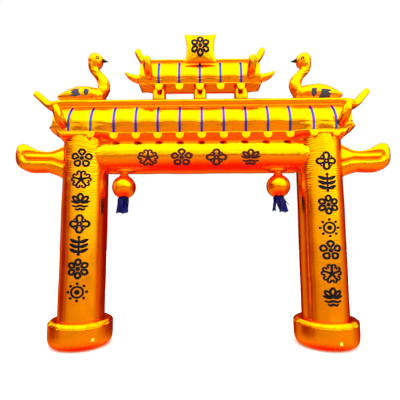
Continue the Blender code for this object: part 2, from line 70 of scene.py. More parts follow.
SPAN = middle_of("column_right").x
COLUMN_R = size_of("column_right").x / 2
COLUMN_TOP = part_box("column_right")[1].z
BASE_R = size_of("base_right").x / 2
BASE_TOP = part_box("base_right")[1].z
BEAM_R = size_of("beam").z / 2
BEAM_Z = middle_of("beam").z
RIDGE_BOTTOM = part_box("roof_lower")[1].z
RIDGE_DEPTH = 0.148        # of the lower ridge cushion, whose flat top carries the birds
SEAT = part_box("ridge_lower")[0].z + RIDGE_DEPTH
UPPER_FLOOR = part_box("roof_upper")[0].z
UPPER_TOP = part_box("roof_upper")[1].z
UPPER_SHIFT = middle_of("post_middle").x
RIDGE_SHIFT = middle_of("ridge_lower").x
LANTERN_X = {"left": middle_of("lantern_ball_left").x, "right": middle_of("lantern_ball_right").x}
LANTERN_Z = middle_of("lantern_ball_right").z
LANTERN_R = size_of("lantern_ball_right").z / 2
SIDES = (("left", -1), ("right", 1))
FACES = (("front", -1), ("back", 1))

# --- named rows, in metres ---------------------------------------------------------------
# Turned profiles: radius and height. The base and the collar run from the top down their outside,
# the crown up from the column's edge to its middle.
BASE_PROFILE = [(0.010, BASE_TOP), (0.200, BASE_TOP), (0.352, BASE_TOP), (0.408, BASE_TOP - 0.002),
                (0.434, BASE_TOP - 0.009), (0.452, BASE_TOP - 0.026), (0.462, BASE_TOP - 0.046),
                (0.468, 0.318), (0.4695, 0.260), (BASE_R, 0.190), (0.465, 0.120), (0.450, 0.068),
                (0.422, 0.032), (0.380, 0.010), (0.320, 0.0), (0.160, 0.0), (0.010, 0.0)]
BASE_RIM_Z, BASE_SOLE_Z = 0.326, 0.060       # heights of the two gathered seams round a base
COLUMN_EDGE_Z = 3.120                        # where a column's tube ends and its crown begins
COLUMN_CROWN = [(0.346, 3.135), (0.335, 3.150), (0.300, 3.185), (0.200, 3.225), (0.080, 3.238),
                (0.004, COLUMN_TOP)]
LANTERN_COLLAR = [(0.057, 2.612), (0.059, 2.600), (0.060, 2.590), (0.070, 2.566), (0.079, 2.545),
                  (0.076, 2.538)]

# Roofs: half depth and height down the face to the eave seam, then along the underside. The bands
# and tongues are numbered from the middle, and strip_drop is how far the plain eave strips hang.
UPPER_UNDERSIDE = [(0.140, UPPER_FLOOR), (0.095, UPPER_FLOOR), (0.050, UPPER_FLOOR)]
LOWER_ROOF = {
    "level": "lower", "half_length": 2.272, "pitch": 0.337, "top": RIDGE_BOTTOM, "column_push": 0.075,
    "face": [(0.182, RIDGE_BOTTOM), (0.258, 3.535), (0.298, 3.440), (0.310, 3.370), (0.302, 3.308),
             (0.270, 3.190)],
    "under": [(0.228, 3.125), (0.178, 3.050), (0.115, 2.955)],
    "end_under": [(0.270, 3.120), (0.200, 3.072), (0.100, 3.055)],
    "end_lift": 0.050, "end_under_lift": 0.135, "shift": 0.0, "crease": 3.296, "corner": 0.054,
    "bands": range(-6, 7), "tongues": range(-5, 7), "tongue_width": 0.124, "tongue_drop": 0.112,
    "strip_drop": {"front": 0.009, "back": 0.018},
}
UPPER_ROOF = {
    "level": "upper", "half_length": 0.955, "pitch": 0.327, "top": UPPER_TOP, "column_push": 0.0,
    "face": [(0.115, UPPER_TOP), (0.170, 4.310), (0.202, 4.205), (0.212, 4.135), (0.204, 4.088),
             (0.182, 4.018)],
    "under": UPPER_UNDERSIDE, "end_under": UPPER_UNDERSIDE,
    "end_lift": 0.030, "end_under_lift": 0.0, "shift": UPPER_SHIFT, "crease": 4.085, "corner": 0.036,
    "bands": range(-2, 3), "tongues": range(-2, 3), "tongue_width": 0.120, "tongue_drop": 0.126,
    "strip_drop": {"front": 0.009, "back": 0.014},
}
ROOF_SEEDS = {-1: 1.0, 1: 21.0}              # the front's and the back's own folds
FACE_STEPS, UNDER_STEPS = 6, 4               # spans between the rows above

# Swept rows: x, y, z, half height and half width of the section along the right-hand piece.
LOWER_RIDGE_END = [(2.290, 0, 3.7042, 0.0735, 0.185), (2.390, 0, 3.708, 0.071, 0.148),
                   (2.475, 0, 3.744, 0.063, 0.104), (2.555, 0, 3.812, 0.058, 0.074),
                   (2.636, 0, 3.886, 0.055, 0.058), (2.690, 0, 3.932, 0.052, 0.052),
                   (2.718, 0, 3.956, 0.038, 0.038), (2.731, 0, 3.967, 0.014, 0.014)]
UPPER_RIDGE_END = [(0.820, 0, 4.437, 0.042, 0.115), (0.885, 0, 4.446, 0.045, 0.098),
                   (0.938, 0, 4.486, 0.050, 0.076), (0.982, 0, 4.556, 0.054, 0.062),
                   (1.018, 0, 4.628, 0.054, 0.056), (1.036, 0, 4.668, 0.046, 0.047),
                   (1.045, 0, 4.690, 0.030, 0.030), (1.049, 0, 4.700, 0.012, 0.012)]
RIDGES = {
    "lower": {"end": LOWER_RIDGE_END, "corner_power": 0.50, "seed": 2.0, "shift": RIDGE_SHIFT,
              "draw_in": 0.24, "sag": 0.042},
    "upper": {"end": UPPER_RIDGE_END, "corner_power": 0.62, "seed": 6.0, "shift": UPPER_SHIFT,
              "draw_in": 0.20, "sag": 0.0},
}
LOWER_HORN = [(2.080, -0.240, 3.262, 0.050, 0.050), (2.100, -0.340, 3.285, 0.062, 0.062),
              (2.120, -0.415, 3.350, 0.070, 0.070), (2.145, -0.452, 3.435, 0.067, 0.067),
              (2.160, -0.470, 3.505, 0.056, 0.056), (2.165, -0.480, 3.548, 0.036, 0.036),
              (2.167, -0.484, 3.562, 0.013, 0.013)]
UPPER_HORN = [(0.790, -0.150, 4.110, 0.046, 0.046), (0.798, -0.240, 4.122, 0.058, 0.058),
              (0.806, -0.310, 4.180, 0.066, 0.066), (0.812, -0.348, 4.262, 0.066, 0.066),
              (0.815, -0.368, 4.330, 0.055, 0.055), (0.816, -0.378, 4.361, 0.037, 0.037),
              (0.816, -0.382, 4.375, 0.013, 0.013)]
SIDE_HORN = [(0.900, 0, 4.190, 0.074, 0.060), (1.000, 0, 4.182, 0.073, 0.060),
             (1.090, 0, 4.200, 0.062, 0.054), (1.165, 0, 4.240, 0.042, 0.040),
             (1.222, 0, 4.285, 0.019, 0.019), (1.238, 0, 4.300, 0.008, 0.008)]
BIRD_BODY = [(2.358, 0, 3.878, 0.016, 0.024), (2.335, 0, 3.876, 0.040, 0.052),
             (2.234, 0, 3.886, 0.084, 0.092), (2.122, 0, 3.895, 0.127, 0.124),
             (1.986, 0, 3.908, 0.150, 0.144), (1.861, 0, 3.902, 0.147, 0.150),
             (1.740, 0, 3.896, 0.132, 0.144), (1.650, 0, 3.896, 0.114, 0.120),
             (1.595, 0, 3.908, 0.078, 0.084), (1.560, 0, 3.916, 0.030, 0.034)]
BIRD_NECK = [(1.760, 0, 3.880, 0.060, 0.080), (1.660, 0, 3.920, 0.092, 0.104),
             (1.608, 0, 3.985, 0.098, 0.104), (1.600, 0, 4.045, 0.097, 0.100),
             (1.612, 0, 4.110, 0.093, 0.094), (1.660, 0, 4.206, 0.080, 0.084),
             (1.722, 0, 4.280, 0.071, 0.078), (1.768, 0, 4.350, 0.080, 0.082),
             (1.774, 0, 4.411, 0.102, 0.096), (1.757, 0, 4.473, 0.124, 0.110),
             (1.753, 0, 4.540, 0.121, 0.110), (1.752, 0, 4.594, 0.092, 0.090),
             (1.748, 0, 4.623, 0.052, 0.052), (1.744, 0, 4.636, 0.018, 0.018)]
BIRD_SHIFT = {"left": (0.0, 0.0), "right": (-0.072, -0.034)}      # away from the middle, and up
BEAK_ROOT, BEAK_TIP, BEAK_R = (1.655, 4.514), (1.541, 4.490), 0.034

# Grey patches on the wings: outlines as distance out from the arch's middle, and height.
WING_PATCHES = {
    "left": [[(2.051, 3.971), (1.971, 3.973), (1.962, 3.906), (1.933, 3.854), (2.029, 3.836),
              (2.139, 3.856), (2.061, 3.879), (2.110, 3.908), (2.071, 3.927), (2.118, 3.943)],
             [(1.872, 3.976), (1.797, 3.940), (1.814, 3.876), (1.861, 3.845), (1.891, 3.902)]],
    "right": [[(1.904, 3.923), (2.042, 3.919), (2.081, 3.897), (2.016, 3.873), (2.072, 3.846),
               (2.046, 3.825), (2.076, 3.798), (2.000, 3.785), (1.864, 3.789), (1.901, 3.856)],
              [(1.750, 3.930), (1.836, 3.938), (1.824, 3.875), (1.830, 3.839), (1.784, 3.794),
               (1.743, 3.840)]],
}
BIRD_EYE = {"left": (1.697, 4.508), "right": (1.638, 4.463)}
EYE_RADII = (0.010, 0.016, 0.021, 0.027)

# Scrolls: x, bottom and top of the outline, half thickness.
SCROLL = [(2.060, 2.480, 3.090, 0.100), (2.190, 2.505, 3.070, 0.108), (2.260, 2.548, 3.034, 0.110),
          (2.350, 2.582, 2.990, 0.108), (2.450, 2.612, 2.962, 0.104), (2.560, 2.613, 2.964, 0.104),
          (2.660, 2.612, 2.984, 0.108), (2.760, 2.620, 3.030, 0.112), (2.850, 2.652, 3.078, 0.112),
          (2.915, 2.690, 3.086, 0.104), (2.958, 2.728, 3.066, 0.088), (2.985, 2.772, 3.022, 0.062),
          (2.999, 2.832, 2.956, 0.030)]
SCROLL_SHIFT = {"left": (-0.018, 0.010), "right": (-0.018, -0.020)}

# Printed ornaments: height of each one's middle up the columns, how far the row is turned towards
# the middle of the arch in degrees, and each one's place along the beam.
COLUMN_ORNAMENTS = {"left": (2.776, 2.451, 2.117, 1.790, 1.471, 1.142, 0.812),
                    "right": (2.708, 2.382, 2.052, 1.715, 1.390, 1.061, 0.736)}
COLUMN_ORNAMENT_TURN = {"left": 8.0, "right": 0.0}
BEAM_ORNAMENTS = (-0.820, -0.306, 0.222, 0.742)

# Lantern ribbons: x and y of the root, then of the tip, beside the ball's axis, then length, width.
RIBBONS = {
    "left": [(-0.068, -0.030, -0.082, -0.036, 0.236, 0.034), (-0.030, -0.052, -0.030, -0.062, 0.238, 0.058),
             (0.020, -0.056, 0.024, -0.060, 0.241, 0.058), (0.060, -0.030, 0.066, -0.036, 0.094, 0.038),
             (0.044, 0.030, 0.040, 0.038, 0.226, 0.046), (-0.010, 0.050, -0.006, 0.060, 0.212, 0.050),
             (-0.054, 0.034, -0.060, 0.045, 0.220, 0.044)],
    "right": [(-0.070, -0.030, -0.083, -0.034, 0.215, 0.040), (-0.046, -0.046, 0.012, -0.058, 0.214, 0.034),
              (-0.012, -0.050, -0.034, -0.056, 0.090, 0.040), (0.040, -0.048, 0.062, -0.056, 0.236, 0.060),
              (0.058, -0.022, 0.112, -0.030, 0.232, 0.050), (0.066, -0.010, 0.140, -0.018, 0.118, 0.016),
              (0.030, 0.044, 0.052, 0.055, 0.222, 0.044), (-0.042, 0.044, -0.058, 0.052, 0.205, 0.040)],
}
RIBBON_FLAT_LENGTH, RIBBON_THICK = 0.24, 0.0014

# Tie tabs: width, height, thickness and drop of the loop, its bar tack and its fold.
TAB_LAYERS = ((0.044, 0.046, 0.0028, 0.0), (0.030, 0.014, 0.0040, -0.010), (0.036, 0.006, 0.0038, 0.014))

# Prints are pressed onto the birds from PRINT_START off the middle, and what is still further off
# than PRINT_MISSED has missed them. The lifts keep flat pieces clear of the cloth below them.
PRINT_START, PRINT_MISSED = 0.4, 0.3
PRINT_LIFT, BAND_LIFT, TRIM_LIFT, TRIM_THICK = 0.0025, 0.0035, 0.0045, 0.0016


# --- settings a user may change ----------------------------------------------------------
def linear(hex_colour):
    """sRGB hex to linear red, green and blue."""
    channels = [int(hex_colour[i:i + 2], 16) / 255 for i in (1, 3, 5)]
    return tuple(c / 12.92 if c <= 0.04045 else ((c + 0.055) / 1.055) ** 2.4 for c in channels)


def colour_property(name, description, default):
    return FloatVectorProperty(name=name, description=description, default=linear(default),
                               subtype="COLOR", size=3, min=0.0, max=1.0)


def length_property(name, description, default):
    return FloatProperty(name=name, description=description, default=default, min=0.0, unit="LENGTH")


class ArchSizes(bpy.types.PropertyGroup):
    bay_bulge: length_property("Bay bulge", "How far a roof bay swells between two bands", 0.016)
    gather_depth: length_property("Gather depth", "Height of the puckers beside a seam", 0.005)
    gather_pitch: length_property("Gather pitch", "Distance between puckers beside a seam", 0.042)
    pleat_depth: length_property("Pleat depth", "Height of the fine level pleats on the columns", 0.0015)
    pleat_pitch: length_property("Pleat pitch", "Distance between the level pleats", 0.026)
    dent_depth: length_property("Dent depth", "Depth of the broad soft dents in the cloth", 0.005)
    band_width: length_property("Band width", "Width of the dark bands on the roofs", 0.038)
    ornament_width: length_property("Ornament width", "Width of a printed ornament", 0.310)


class ArchColours(bpy.types.PropertyGroup):
    gold: colour_property("Gold cloth", "Metallised face of the main cloth", "#FFA900")
    band: colour_property("Roof bands", "Metallised bands on the roofs", "#3E45A0")
    ribbon: colour_property("Ribbons", "Ribbons under the lanterns", "#07074E")
    print_black: colour_property("Black print", "Ornaments on columns and tablet", "#050508")
    print_brown: colour_property("Brown print", "Ornaments on the beam", "#3A0A04")
    feather: colour_property("Feather patches", "Grey patches on the birds", "#34343F")
    beak: colour_property("Beaks", "Matt cloth of the beaks", "#0A1414")
    webbing: colour_property("Webbing", "Tie tabs on the bases", "#F6C92A")
    floor: colour_property("Floor", "Pale studio floor", "#F4F4F4")


def sizes():
    return bpy.context.scene.arch_sizes


def colours():
    return bpy.context.scene.arch_colours


# --- small numbers -----------------------------------------------------------------------
def ease(value):
    value = min(max(value, 0.0), 1.0)
    return value * value * (3 - 2 * value)


def smooth_rows(rows, steps):
    """Catmull-Rom through rows of numbers, with steps spans between each pair."""
    out = []
    for i in range(len(rows) - 1):
        before, start = rows[max(i - 1, 0)], rows[i]
        end, after = rows[i + 1], rows[min(i + 2, len(rows) - 1)]
        for step in range(steps):
            t = step / steps
            out.append(tuple(0.5 * (2 * b + (c - a) * t + (2 * a - 5 * b + 4 * c - d) * t ** 2
                                    + (3 * b - a - 3 * c + d) * t ** 3)
                             for a, b, c, d in zip(before, start, end, after)))
    return out + [tuple(rows[-1])]


def neighbours(rows, i):
    """The rows before and after row i, or the row itself at an end."""
    return rows[max(i - 1, 0)], rows[min(i + 1, len(rows) - 1)]


def lengths_along(points):
    """How far along a line each of its points lies."""
    lengths = [0.0]
    for start, end in zip(points, points[1:]):
        lengths.append(lengths[-1] + math.dist(start, end))
    return lengths


def outward(section, i):
    """The normal at point i of a section, as (out, up). The section runs down its outer face."""
    before, after = neighbours(section, i)
    run = math.dist(after, before) or 1.0
    return (before[1] - after[1]) / run, (after[0] - before[0]) / run


def ring_angles(count):
    """Angles round a ring, half a step off its axes."""
    return [2 * math.pi * (k + 0.5) / count for k in range(count)]


def boxy(value, power):
    """A sine or cosine to a power, with its sign kept. A power under 1 makes a ring's corners squarer."""
    return math.copysign(abs(value) ** power, value)


def wander(x, y=0.0, z=0.0):
    return noise.noise(Vector((x, y, z)))


def gather(along, away, seed, reach=0.045, pitch=None):
    """Puckers beside a seam, from -1 to 1. They run square to it and fade with distance."""
    pitch = pitch or sizes().gather_pitch
    too_faint = 0.02
    fade = math.exp(-abs(away) / reach)
    if fade < too_faint:
        return 0.0
    drift = 1.1 * wander(along / (2.5 * pitch), away / reach, seed)
    strength = 0.55 + 0.9 * wander(along / (3.3 * pitch) + 9, seed, away / (2 * reach))
    return fade * strength * math.sin(2 * math.pi * (along / pitch + drift))


def dent(x, y, z, seed=0.0, size=0.45):
    """Broad soft dents, in metres of relief."""
    return sizes().dent_depth * wander(x / size + seed, y / size - seed, z / size + 2 * seed)


# --- mesh tools --------------------------------------------------------------------------
def looks_collection():
    found = bpy.data.collections.get("gate_arch_looks")
    if found is None:
        found = bpy.data.collections.new("gate_arch_looks")
        bpy.context.scene.collection.children.link(found)
    return found


def face_outward(shape):
    bmesh.ops.recalc_face_normals(shape, faces=shape.faces)
    if shape.calc_volume(signed=True) < 0:
        bmesh.ops.reverse_faces(shape, faces=shape.faces)


def reshaped(mesh, change):
    """Make one change to a mesh as a bmesh, and shade the result smooth."""
    shape = bmesh.new()
    shape.from_mesh(mesh)
    change(shape)
    shape.to_mesh(mesh)
    shape.free()
    mesh.shade_smooth()


def piece(name, points, faces, material, slot, stands_for=(), fill=None):
    """One visible piece: its mesh, faces outward, riding on the arch's single body."""
    mesh = bpy.data.meshes.new(name)
    mesh.from_pydata(points, [], faces)
    reshaped(mesh, face_outward)
    mesh.materials.append(material)
    obj = bpy.data.objects.new(name, mesh)
    looks_collection().objects.link(obj)
    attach(obj, "root")
    if stands_for:
        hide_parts(*stands_for)
    return obj


def skin(rings, closed=True, capped=True):
    """Points and quads over rings of equal count, with a fan over each end."""
    count = len(rings[0])
    points = [tuple(point) for ring in rings for point in ring]
    faces = []
    for row in range(len(rings) - 1):
        for k in range(count if closed else count - 1):
            here, there = row * count + k, row * count + (k + 1) % count
            faces.append((here, there, there + count, here + count))
    if capped:
        for row in (0, len(rings) - 1):
            points.append(tuple(sum((Vector(p) for p in rings[row]), Vector()) / count))
            hub = len(points) - 1
            faces += [(row * count + k, row * count + (k + 1) % count, hub) for k in range(count)]
    return points, faces


def gold_piece(node_name, rings, fill=None, cloth=None):
    """A closed gold skin in the place of one solid."""
    return piece(f"{node_name}_cloth", *skin(rings), cloth or metallised_cloth(), "gold_cloth", [node_name],
                 fill)


def joined(parts):
    """Several (points, faces) as one."""
    points, faces = [], []
    for more_points, more_faces in parts:
        start = len(points)
        points += more_points
        faces += [tuple(start + i for i in face) for face in more_faces]
    return points, faces


def turned_rings(profile, steps, centre, relief=None):
    """Rings round a vertical axis. relief(angle, path length, height) moves the cloth outward.

    The angle is 0 at the front and grows towards +X.
    """
    rings, tightest = [], 0.002
    for i, (length, (radius, height)) in enumerate(zip(lengths_along(profile), profile)):
        out, up = outward(profile, i)
        ring = []
        for k in range(steps):
            angle = 2 * math.pi * k / steps - math.pi
            move = relief(angle, length, height) if relief else 0.0
            r = max(radius + out * move, tightest)
            ring.append((centre[0] + r * math.sin(angle), centre[1] - r * math.cos(angle),
                         centre[2] + height + up * move))
        rings.append(ring)
    return rings


def swept_rings(rows, sides, side=(0, 1, 0), corner_power=1.0, relief=None):
    """Rings square to a path. relief(share of the path, angle, path length) moves them outward."""
    places = [Vector(row[:3]) for row in rows]
    rings, length = [], 0.0
    for i, (half_up, half_side) in enumerate(row[3:] for row in rows):
        behind, ahead = neighbours(places, i)
        if i:
            length += (places[i] - places[i - 1]).length
        along = (ahead - behind).normalized()
        up = Vector(side).cross(along).normalized()
        across = along.cross(up)
        ring = []
        for angle in ring_angles(sides):
            move = relief(i / (len(rows) - 1), angle, length) if relief else 0.0
            sideways = across * ((half_side + move) * boxy(math.cos(angle), corner_power))
            upward = up * ((half_up + move) * boxy(math.sin(angle), corner_power))
            ring.append(places[i] + sideways + upward)
        rings.append(ring)
    return rings


def mirrored(rows, sign_x, sign_y=1):
    return [(sign_x * row[0], sign_y * row[1], *row[2:]) for row in rows]


def moved(rows, shift):
    return [(row[0] + shift, *row[1:]) for row in rows]


def settled(rows, side):
    """Bird rows of one side: moved along X, the neck eased up or down towards the head."""
    shift, lift = BIRD_SHIFT[side]
    neck_foot, neck_rise = 3.95, 0.5
    return [(x + shift, y, z + lift * ease((z - neck_foot) / neck_rise), up, across)
            for x, y, z, up, across in rows]


# --- materials ---------------------------------------------------------------------------
# Pattern sizes in millimetres. A wave texture at scale 1 has 3.2 waves in a metre along one axis,
# and 2.76 square to its slanted bands. A noise texture at scale 1 has lumps of about a metre.
WAVES, SLANTED_WAVES = 3.2, 2.76
DULL_PATCH_MM, CRUMPLE_MM, TAFFETA_YARN_MM = 312.5, 90.909, 6.8362
INK_WEAVE_MM, FINE_WEAVE_MM, CLOUDY_PATCH_MM, FLOOR_PATCH_MM = 6.0, 3.0, 111.111, 1666.667


def node(tree, kind, inputs=None, **settings):
    """Add one node with its settings, and fill or link its inputs."""
    made = tree.nodes.new("ShaderNode" + kind)
    for name, value in settings.items():
        setattr(made, name, value)
    for name, value in (inputs or {}).items():
        if isinstance(value, bpy.types.NodeSocket):
            tree.links.new(value, made.inputs[name])
        else:
            made.inputs[name].default_value = value
    return made


def new_material(name, **values):
    """A material with one Principled shader, its plain values on its own sockets."""
    found = bpy.data.materials.get(name)
    if found:
        return found, None, None
    material = bpy.data.materials.new(name)
    material.use_nodes = True
    tree = material.node_tree
    shader = tree.nodes["Principled BSDF"]
    for socket, value in values.items():
        shader.inputs[socket.replace("_", " ")].default_value = value
    return material, tree, shader


def tinted(tree, colour, factor, low, high):
    """The colour made darker or lighter by a 0 to 1 pattern."""
    darker = tuple(c * low for c in colour) + (1.0,)
    lighter = tuple(min(c * high, 1.0) for c in colour) + (1.0,)
    return ramp_of(tree, factor, [(0.3, darker), (0.7, lighter)])["Color"]


def ramp_of(tree, factor, stops):
    """A colour ramp's outputs. Its stops are (position, colour with alpha)."""
    made = node(tree, "ValToRGB", {"Fac": factor})
    elements = made.color_ramp.elements
    while len(elements) < len(stops):
        elements.new(0.5)
    for element, (position, colour) in zip(elements, stops):
        element.position = position
        element.color = colour
    return made.outputs


def metallised_cloth(name="polyester_taffeta_metallised_gold", tint="gold", crumple=1.0, roughness=0.15):
    """Polyester taffeta with a vacuum-metallised face under a coloured lacquer.

    It gives the eye a foil-like mirror that is broken by crumples nine centimetres apart and less,
    with slightly duller patches where the lacquer is rubbed. Aluminium under lacquer keeps the default
    IOR. The 0.2 mm yarn is drawn at 7 mm, because a true one would vanish.
    """
    colour = tuple(getattr(colours(), tint))
    material, tree, shader = new_material(name, Metallic=1.0, Specular_Tint=(*colour, 1.0))
    if tree is None:
        return material
    place = node(tree, "TexCoord").outputs["Object"]
    patches = node(tree, "TexNoise", {"Vector": place, "Scale": 1000 / DULL_PATCH_MM,
                                      "Detail": 3.0}).outputs["Fac"]
    tree.links.new(tinted(tree, colour, patches, 0.94, 1.04), shader.inputs["Base Color"])
    dull = node(tree, "MapRange", {"Value": patches, "From Min": 0.3, "From Max": 0.7,
                                   "To Min": roughness - 0.03, "To Max": roughness + 0.05})
    tree.links.new(dull.outputs["Result"], shader.inputs["Roughness"])
    crumples = node(tree, "TexNoise", {"Vector": place, "Scale": 1000 / CRUMPLE_MM, "Detail": 4.0,
                                       "Roughness": 0.55, "Distortion": 0.5}).outputs["Fac"]
    yarns = node(tree, "TexWave", {"Vector": place, "Scale": 1000 / TAFFETA_YARN_MM / SLANTED_WAVES,
                                   "Distortion": 0.4}, bands_direction="DIAGONAL").outputs["Fac"]
    broad = node(tree, "Bump", {"Height": crumples, "Strength": 0.20 * crumple, "Distance": 0.018})
    fine = node(tree, "Bump", {"Height": yarns, "Strength": 0.05, "Distance": 0.001,
                               "Normal": broad.outputs["Normal"]})
    tree.links.new(fine.outputs["Normal"], shader.inputs["Normal"])
    return material


def woven(name, colour, roughness, thread_mm, specular=0.5, depth=0.25):
    """Dull woven cloth: a plain weave of crossing threads with a little colour variation.

    thread_mm is the drawn thread spacing, coarser than the true one so that it shows.
    """
    material, tree, shader = new_material(name, Roughness=roughness, Specular_IOR_Level=specular)
    if tree is None:
        return material
    place = node(tree, "TexCoord").outputs["Object"]
    scale = 1000 / thread_mm / WAVES
    warp, weft = (node(tree, "TexWave", {"Vector": place, "Scale": scale, "Distortion": 0.3},
                       bands_direction=direction).outputs["Fac"] for direction in ("X", "Z"))
    weave = node(tree, "Math", {0: warp, 1: weft}, operation="MAXIMUM").outputs["Value"]
    cloudy = node(tree, "TexNoise", {"Vector": place, "Scale": 1000 / CLOUDY_PATCH_MM, "Detail": 3.0})
    tree.links.new(tinted(tree, colour, cloudy.outputs["Fac"], 0.82, 1.15), shader.inputs["Base Color"])
    bump = node(tree, "Bump", {"Height": weave, "Strength": depth, "Distance": thread_mm / 1000 / 3})
    tree.links.new(bump.outputs["Normal"], shader.inputs["Normal"])
    return material


def column_cloth():
    """The gold taffeta drawn tight round a column.

    Hundreds of level hairline pleats smear its mirror up and down, and leave it sharp round the
    column: anisotropy turned upright.
    """
    material = metallised_cloth("polyester_taffeta_metallised_gold_tight", crumple=0.4, roughness=0.18)
    shader = material.node_tree.nodes["Principled BSDF"]
    shader.inputs["Anisotropic"].default_value = 0.85
    shader.inputs["Anisotropic Rotation"].default_value = 0.25
    return material


def blue_band_cloth():
    """The same taffeta under a deep blue lacquer, for the bands on the roofs."""
    return metallised_cloth("polyester_taffeta_metallised_blue", "band", roughness=0.26)


def printed_black():
    """Pigment ink screen-printed on taffeta: nearly black, with the dull gloss of a rubber film."""
    return woven("screen_print_ink_black", tuple(colours().print_black), 0.5, INK_WEAVE_MM, specular=0.12,
                 depth=0.1)


def printed_brown():
    """The same ink thinned on the beam, so that warm cloth shows through it."""
    return woven("screen_print_ink_brown", tuple(colours().print_brown), 0.5, INK_WEAVE_MM, specular=0.15,
                 depth=0.1)


def printed_feathers():
    """Grey ink on the birds' wings, matt and a little uneven."""
    return woven("screen_print_ink_grey", tuple(colours().feather), 0.55, INK_WEAVE_MM, specular=0.25,
                 depth=0.12)


def black_cloth():
    """Piece-dyed black polyester, matt, as used for the small beaks."""
    return woven("polyester_cloth_black", tuple(colours().beak), 0.45, FINE_WEAVE_MM, specular=0.15)


def ribbon_satin():
    """Thin navy satin ribbon: nearly black in the folds, deep blue where the gloss runs along it."""
    return woven("polyester_satin_navy_ribbon", tuple(colours().ribbon), 0.38, FINE_WEAVE_MM,
                 specular=0.12)


def yellow_webbing():
    """Woven polypropylene webbing, about 1.5 mm thick, with visible ribs."""
    return woven("polypropylene_webbing_yellow", tuple(colours().webbing), 0.6, FINE_WEAVE_MM,
                 depth=0.5)


# --- bases, columns and beam -------------------------------------------------------------
def build_bases():
    """Foot drums with a gathered seam round the shoulder and a slacker one above the sole."""
    profile = smooth_rows(BASE_PROFILE, 5)
    lengths = lengths_along(profile)
    rim = next(length for length, row in zip(lengths, profile) if row[1] < BASE_RIM_Z)
    sole = next(length for length, row in zip(lengths, profile) if row[1] < BASE_SOLE_Z)
    seam_width, seam_depth, ledge_limit = 0.005, 0.003, 0.004
    for name, sign in SIDES:
        def relief(angle, length, height, seed=3.0 * sign):
            around = angle * BASE_R
            depth = sizes().gather_depth
            above = ease((rim + 0.004 - length) / 0.008)
            move = depth * (0.5 + 3.2 * above) * gather(around, length - rim, seed, reach=0.042, pitch=0.033)
            move += depth * 0.9 * gather(around, length - sole, seed + 5, reach=0.050, pitch=0.048)
            move -= seam_depth * math.exp(-((length - rim) / seam_width) ** 2)
            if height > BASE_TOP - 0.03:
                move = min(move, ledge_limit)
            return move + (dent(around, height, seed) if 0.02 < height < BASE_TOP - 0.02 else 0.0)

        rings = turned_rings(profile, 300, (sign * SPAN, 0, 0), relief)
        gold_piece(f"base_{name}", rings, 0.95)


def joint_reach(y):
    """How far from the arch's middle the column's face stands at depth y."""
    return SPAN - math.sqrt(max(COLUMN_R ** 2 - y * y, 0.0))


def beam_folds(sign, angle, height):
    """Folds that fan over a column's cloth from where the beam is sewn to it."""
    fold_pitch, spread, bottom = 0.034, 0.18, 2.25
    edge = math.acos(min(BEAM_R / COLUMN_R, 1.0))
    inward = -sign * angle
    if height <= bottom or inward >= edge + 0.25:
        return 0.0
    away = COLUMN_R * (edge - inward)
    near = ease((height - bottom - 0.10) / 0.35) * math.exp(-max(away, 0.0) / spread)
    slant = (height - BEAM_Z) * (1 - 0.30 * min(max(away, 0.0) / 0.3, 1.0)) - 0.10 * away
    fold = math.sin(2 * math.pi * (slant / fold_pitch + 1.2 * wander(slant / 0.09, away / 0.25, sign)))
    strength = 0.55 + 0.9 * wander(slant / 0.11, away / 0.12, sign + 4)
    return sizes().gather_depth * 0.5 * near * strength * fold


def level_pleats(sign, angle, height):
    """Fine level pleats up a column, strongest where the roof's weight and the beam pull the cloth."""
    drift = 1.3 * wander(height / 0.16, 1.3 * angle, sign)
    drift += 0.8 * wander(height / 0.05, 2.6 * angle, sign + 8)
    strength = 0.75 + 0.9 * wander(height / 0.11, 2.2 * angle, sign + 2)
    strength *= 0.10 + 0.75 * ease((height - 1.7) / 0.9)
    wave = math.sin(2 * math.pi * (height / sizes().pleat_pitch + drift))
    return sizes().pleat_depth * strength * wave


def column_relief(sign, angle, height):
    """How far the column's cloth stands out, but for its pleats: dents, gathers and the beam's folds."""
    around = COLUMN_R * angle
    puckers = 0.5 * sizes().gather_depth * gather(around, height - BASE_TOP, sign * 7, 0.035)
    return dent(around, height, sign * 4.0) + puckers + beam_folds(sign, angle, height)


def build_columns():
    """Tubes of cloth from the bases up to a closed crown inside the lower roof."""
    cloth = column_cloth()
    low, ring_gap = BASE_TOP + 0.001, 0.0045
    count = int((COLUMN_EDGE_Z - low) / ring_gap)
    tube = [(COLUMN_R - 0.001, low + (COLUMN_EDGE_Z - low) * i / count) for i in range(count + 1)]
    profile = (tube + COLUMN_CROWN)[::-1]
    for name, sign in SIDES:
        def relief(angle, length, height, sign=sign):
            return column_relief(sign, angle, height) + level_pleats(sign, angle, height)

        rings = turned_rings(profile, 88, (sign * SPAN, 0, 0), relief)
        gold_piece(f"column_{name}", rings, 1.0, cloth)


def build_beam():
    """The tube between the columns, drawn into short fans of folds where it is sewn to them."""
    stations, sides = 150, 120
    overlap, seam_depth, seam_width = 0.02, 0.012, 0.03
    rings = []
    for i in range(stations + 1):
        share = -1 + 2 * i / stations
        ring = []
        for k in range(sides):
            angle = 2 * math.pi * k / sides
            y, z = -math.cos(angle), math.sin(angle)
            x = share * (joint_reach(BEAM_R * y) + overlap)
            away = joint_reach(BEAM_R * y) - abs(x)
            fan = gather(angle * BEAM_R + 3 * share, max(away, 0.0), 11 + share, reach=0.12, pitch=0.055)
            move = 2.0 * sizes().gather_depth * fan + dent(x, angle * BEAM_R, 2.0, size=0.26)
            move -= seam_depth * math.exp(-max(away, 0.0) / seam_width)
            ring.append((x, (BEAM_R + move) * y, BEAM_Z + (BEAM_R + move) * z))
        rings.append(ring)
    gold_piece("beam", rings, 1.0)


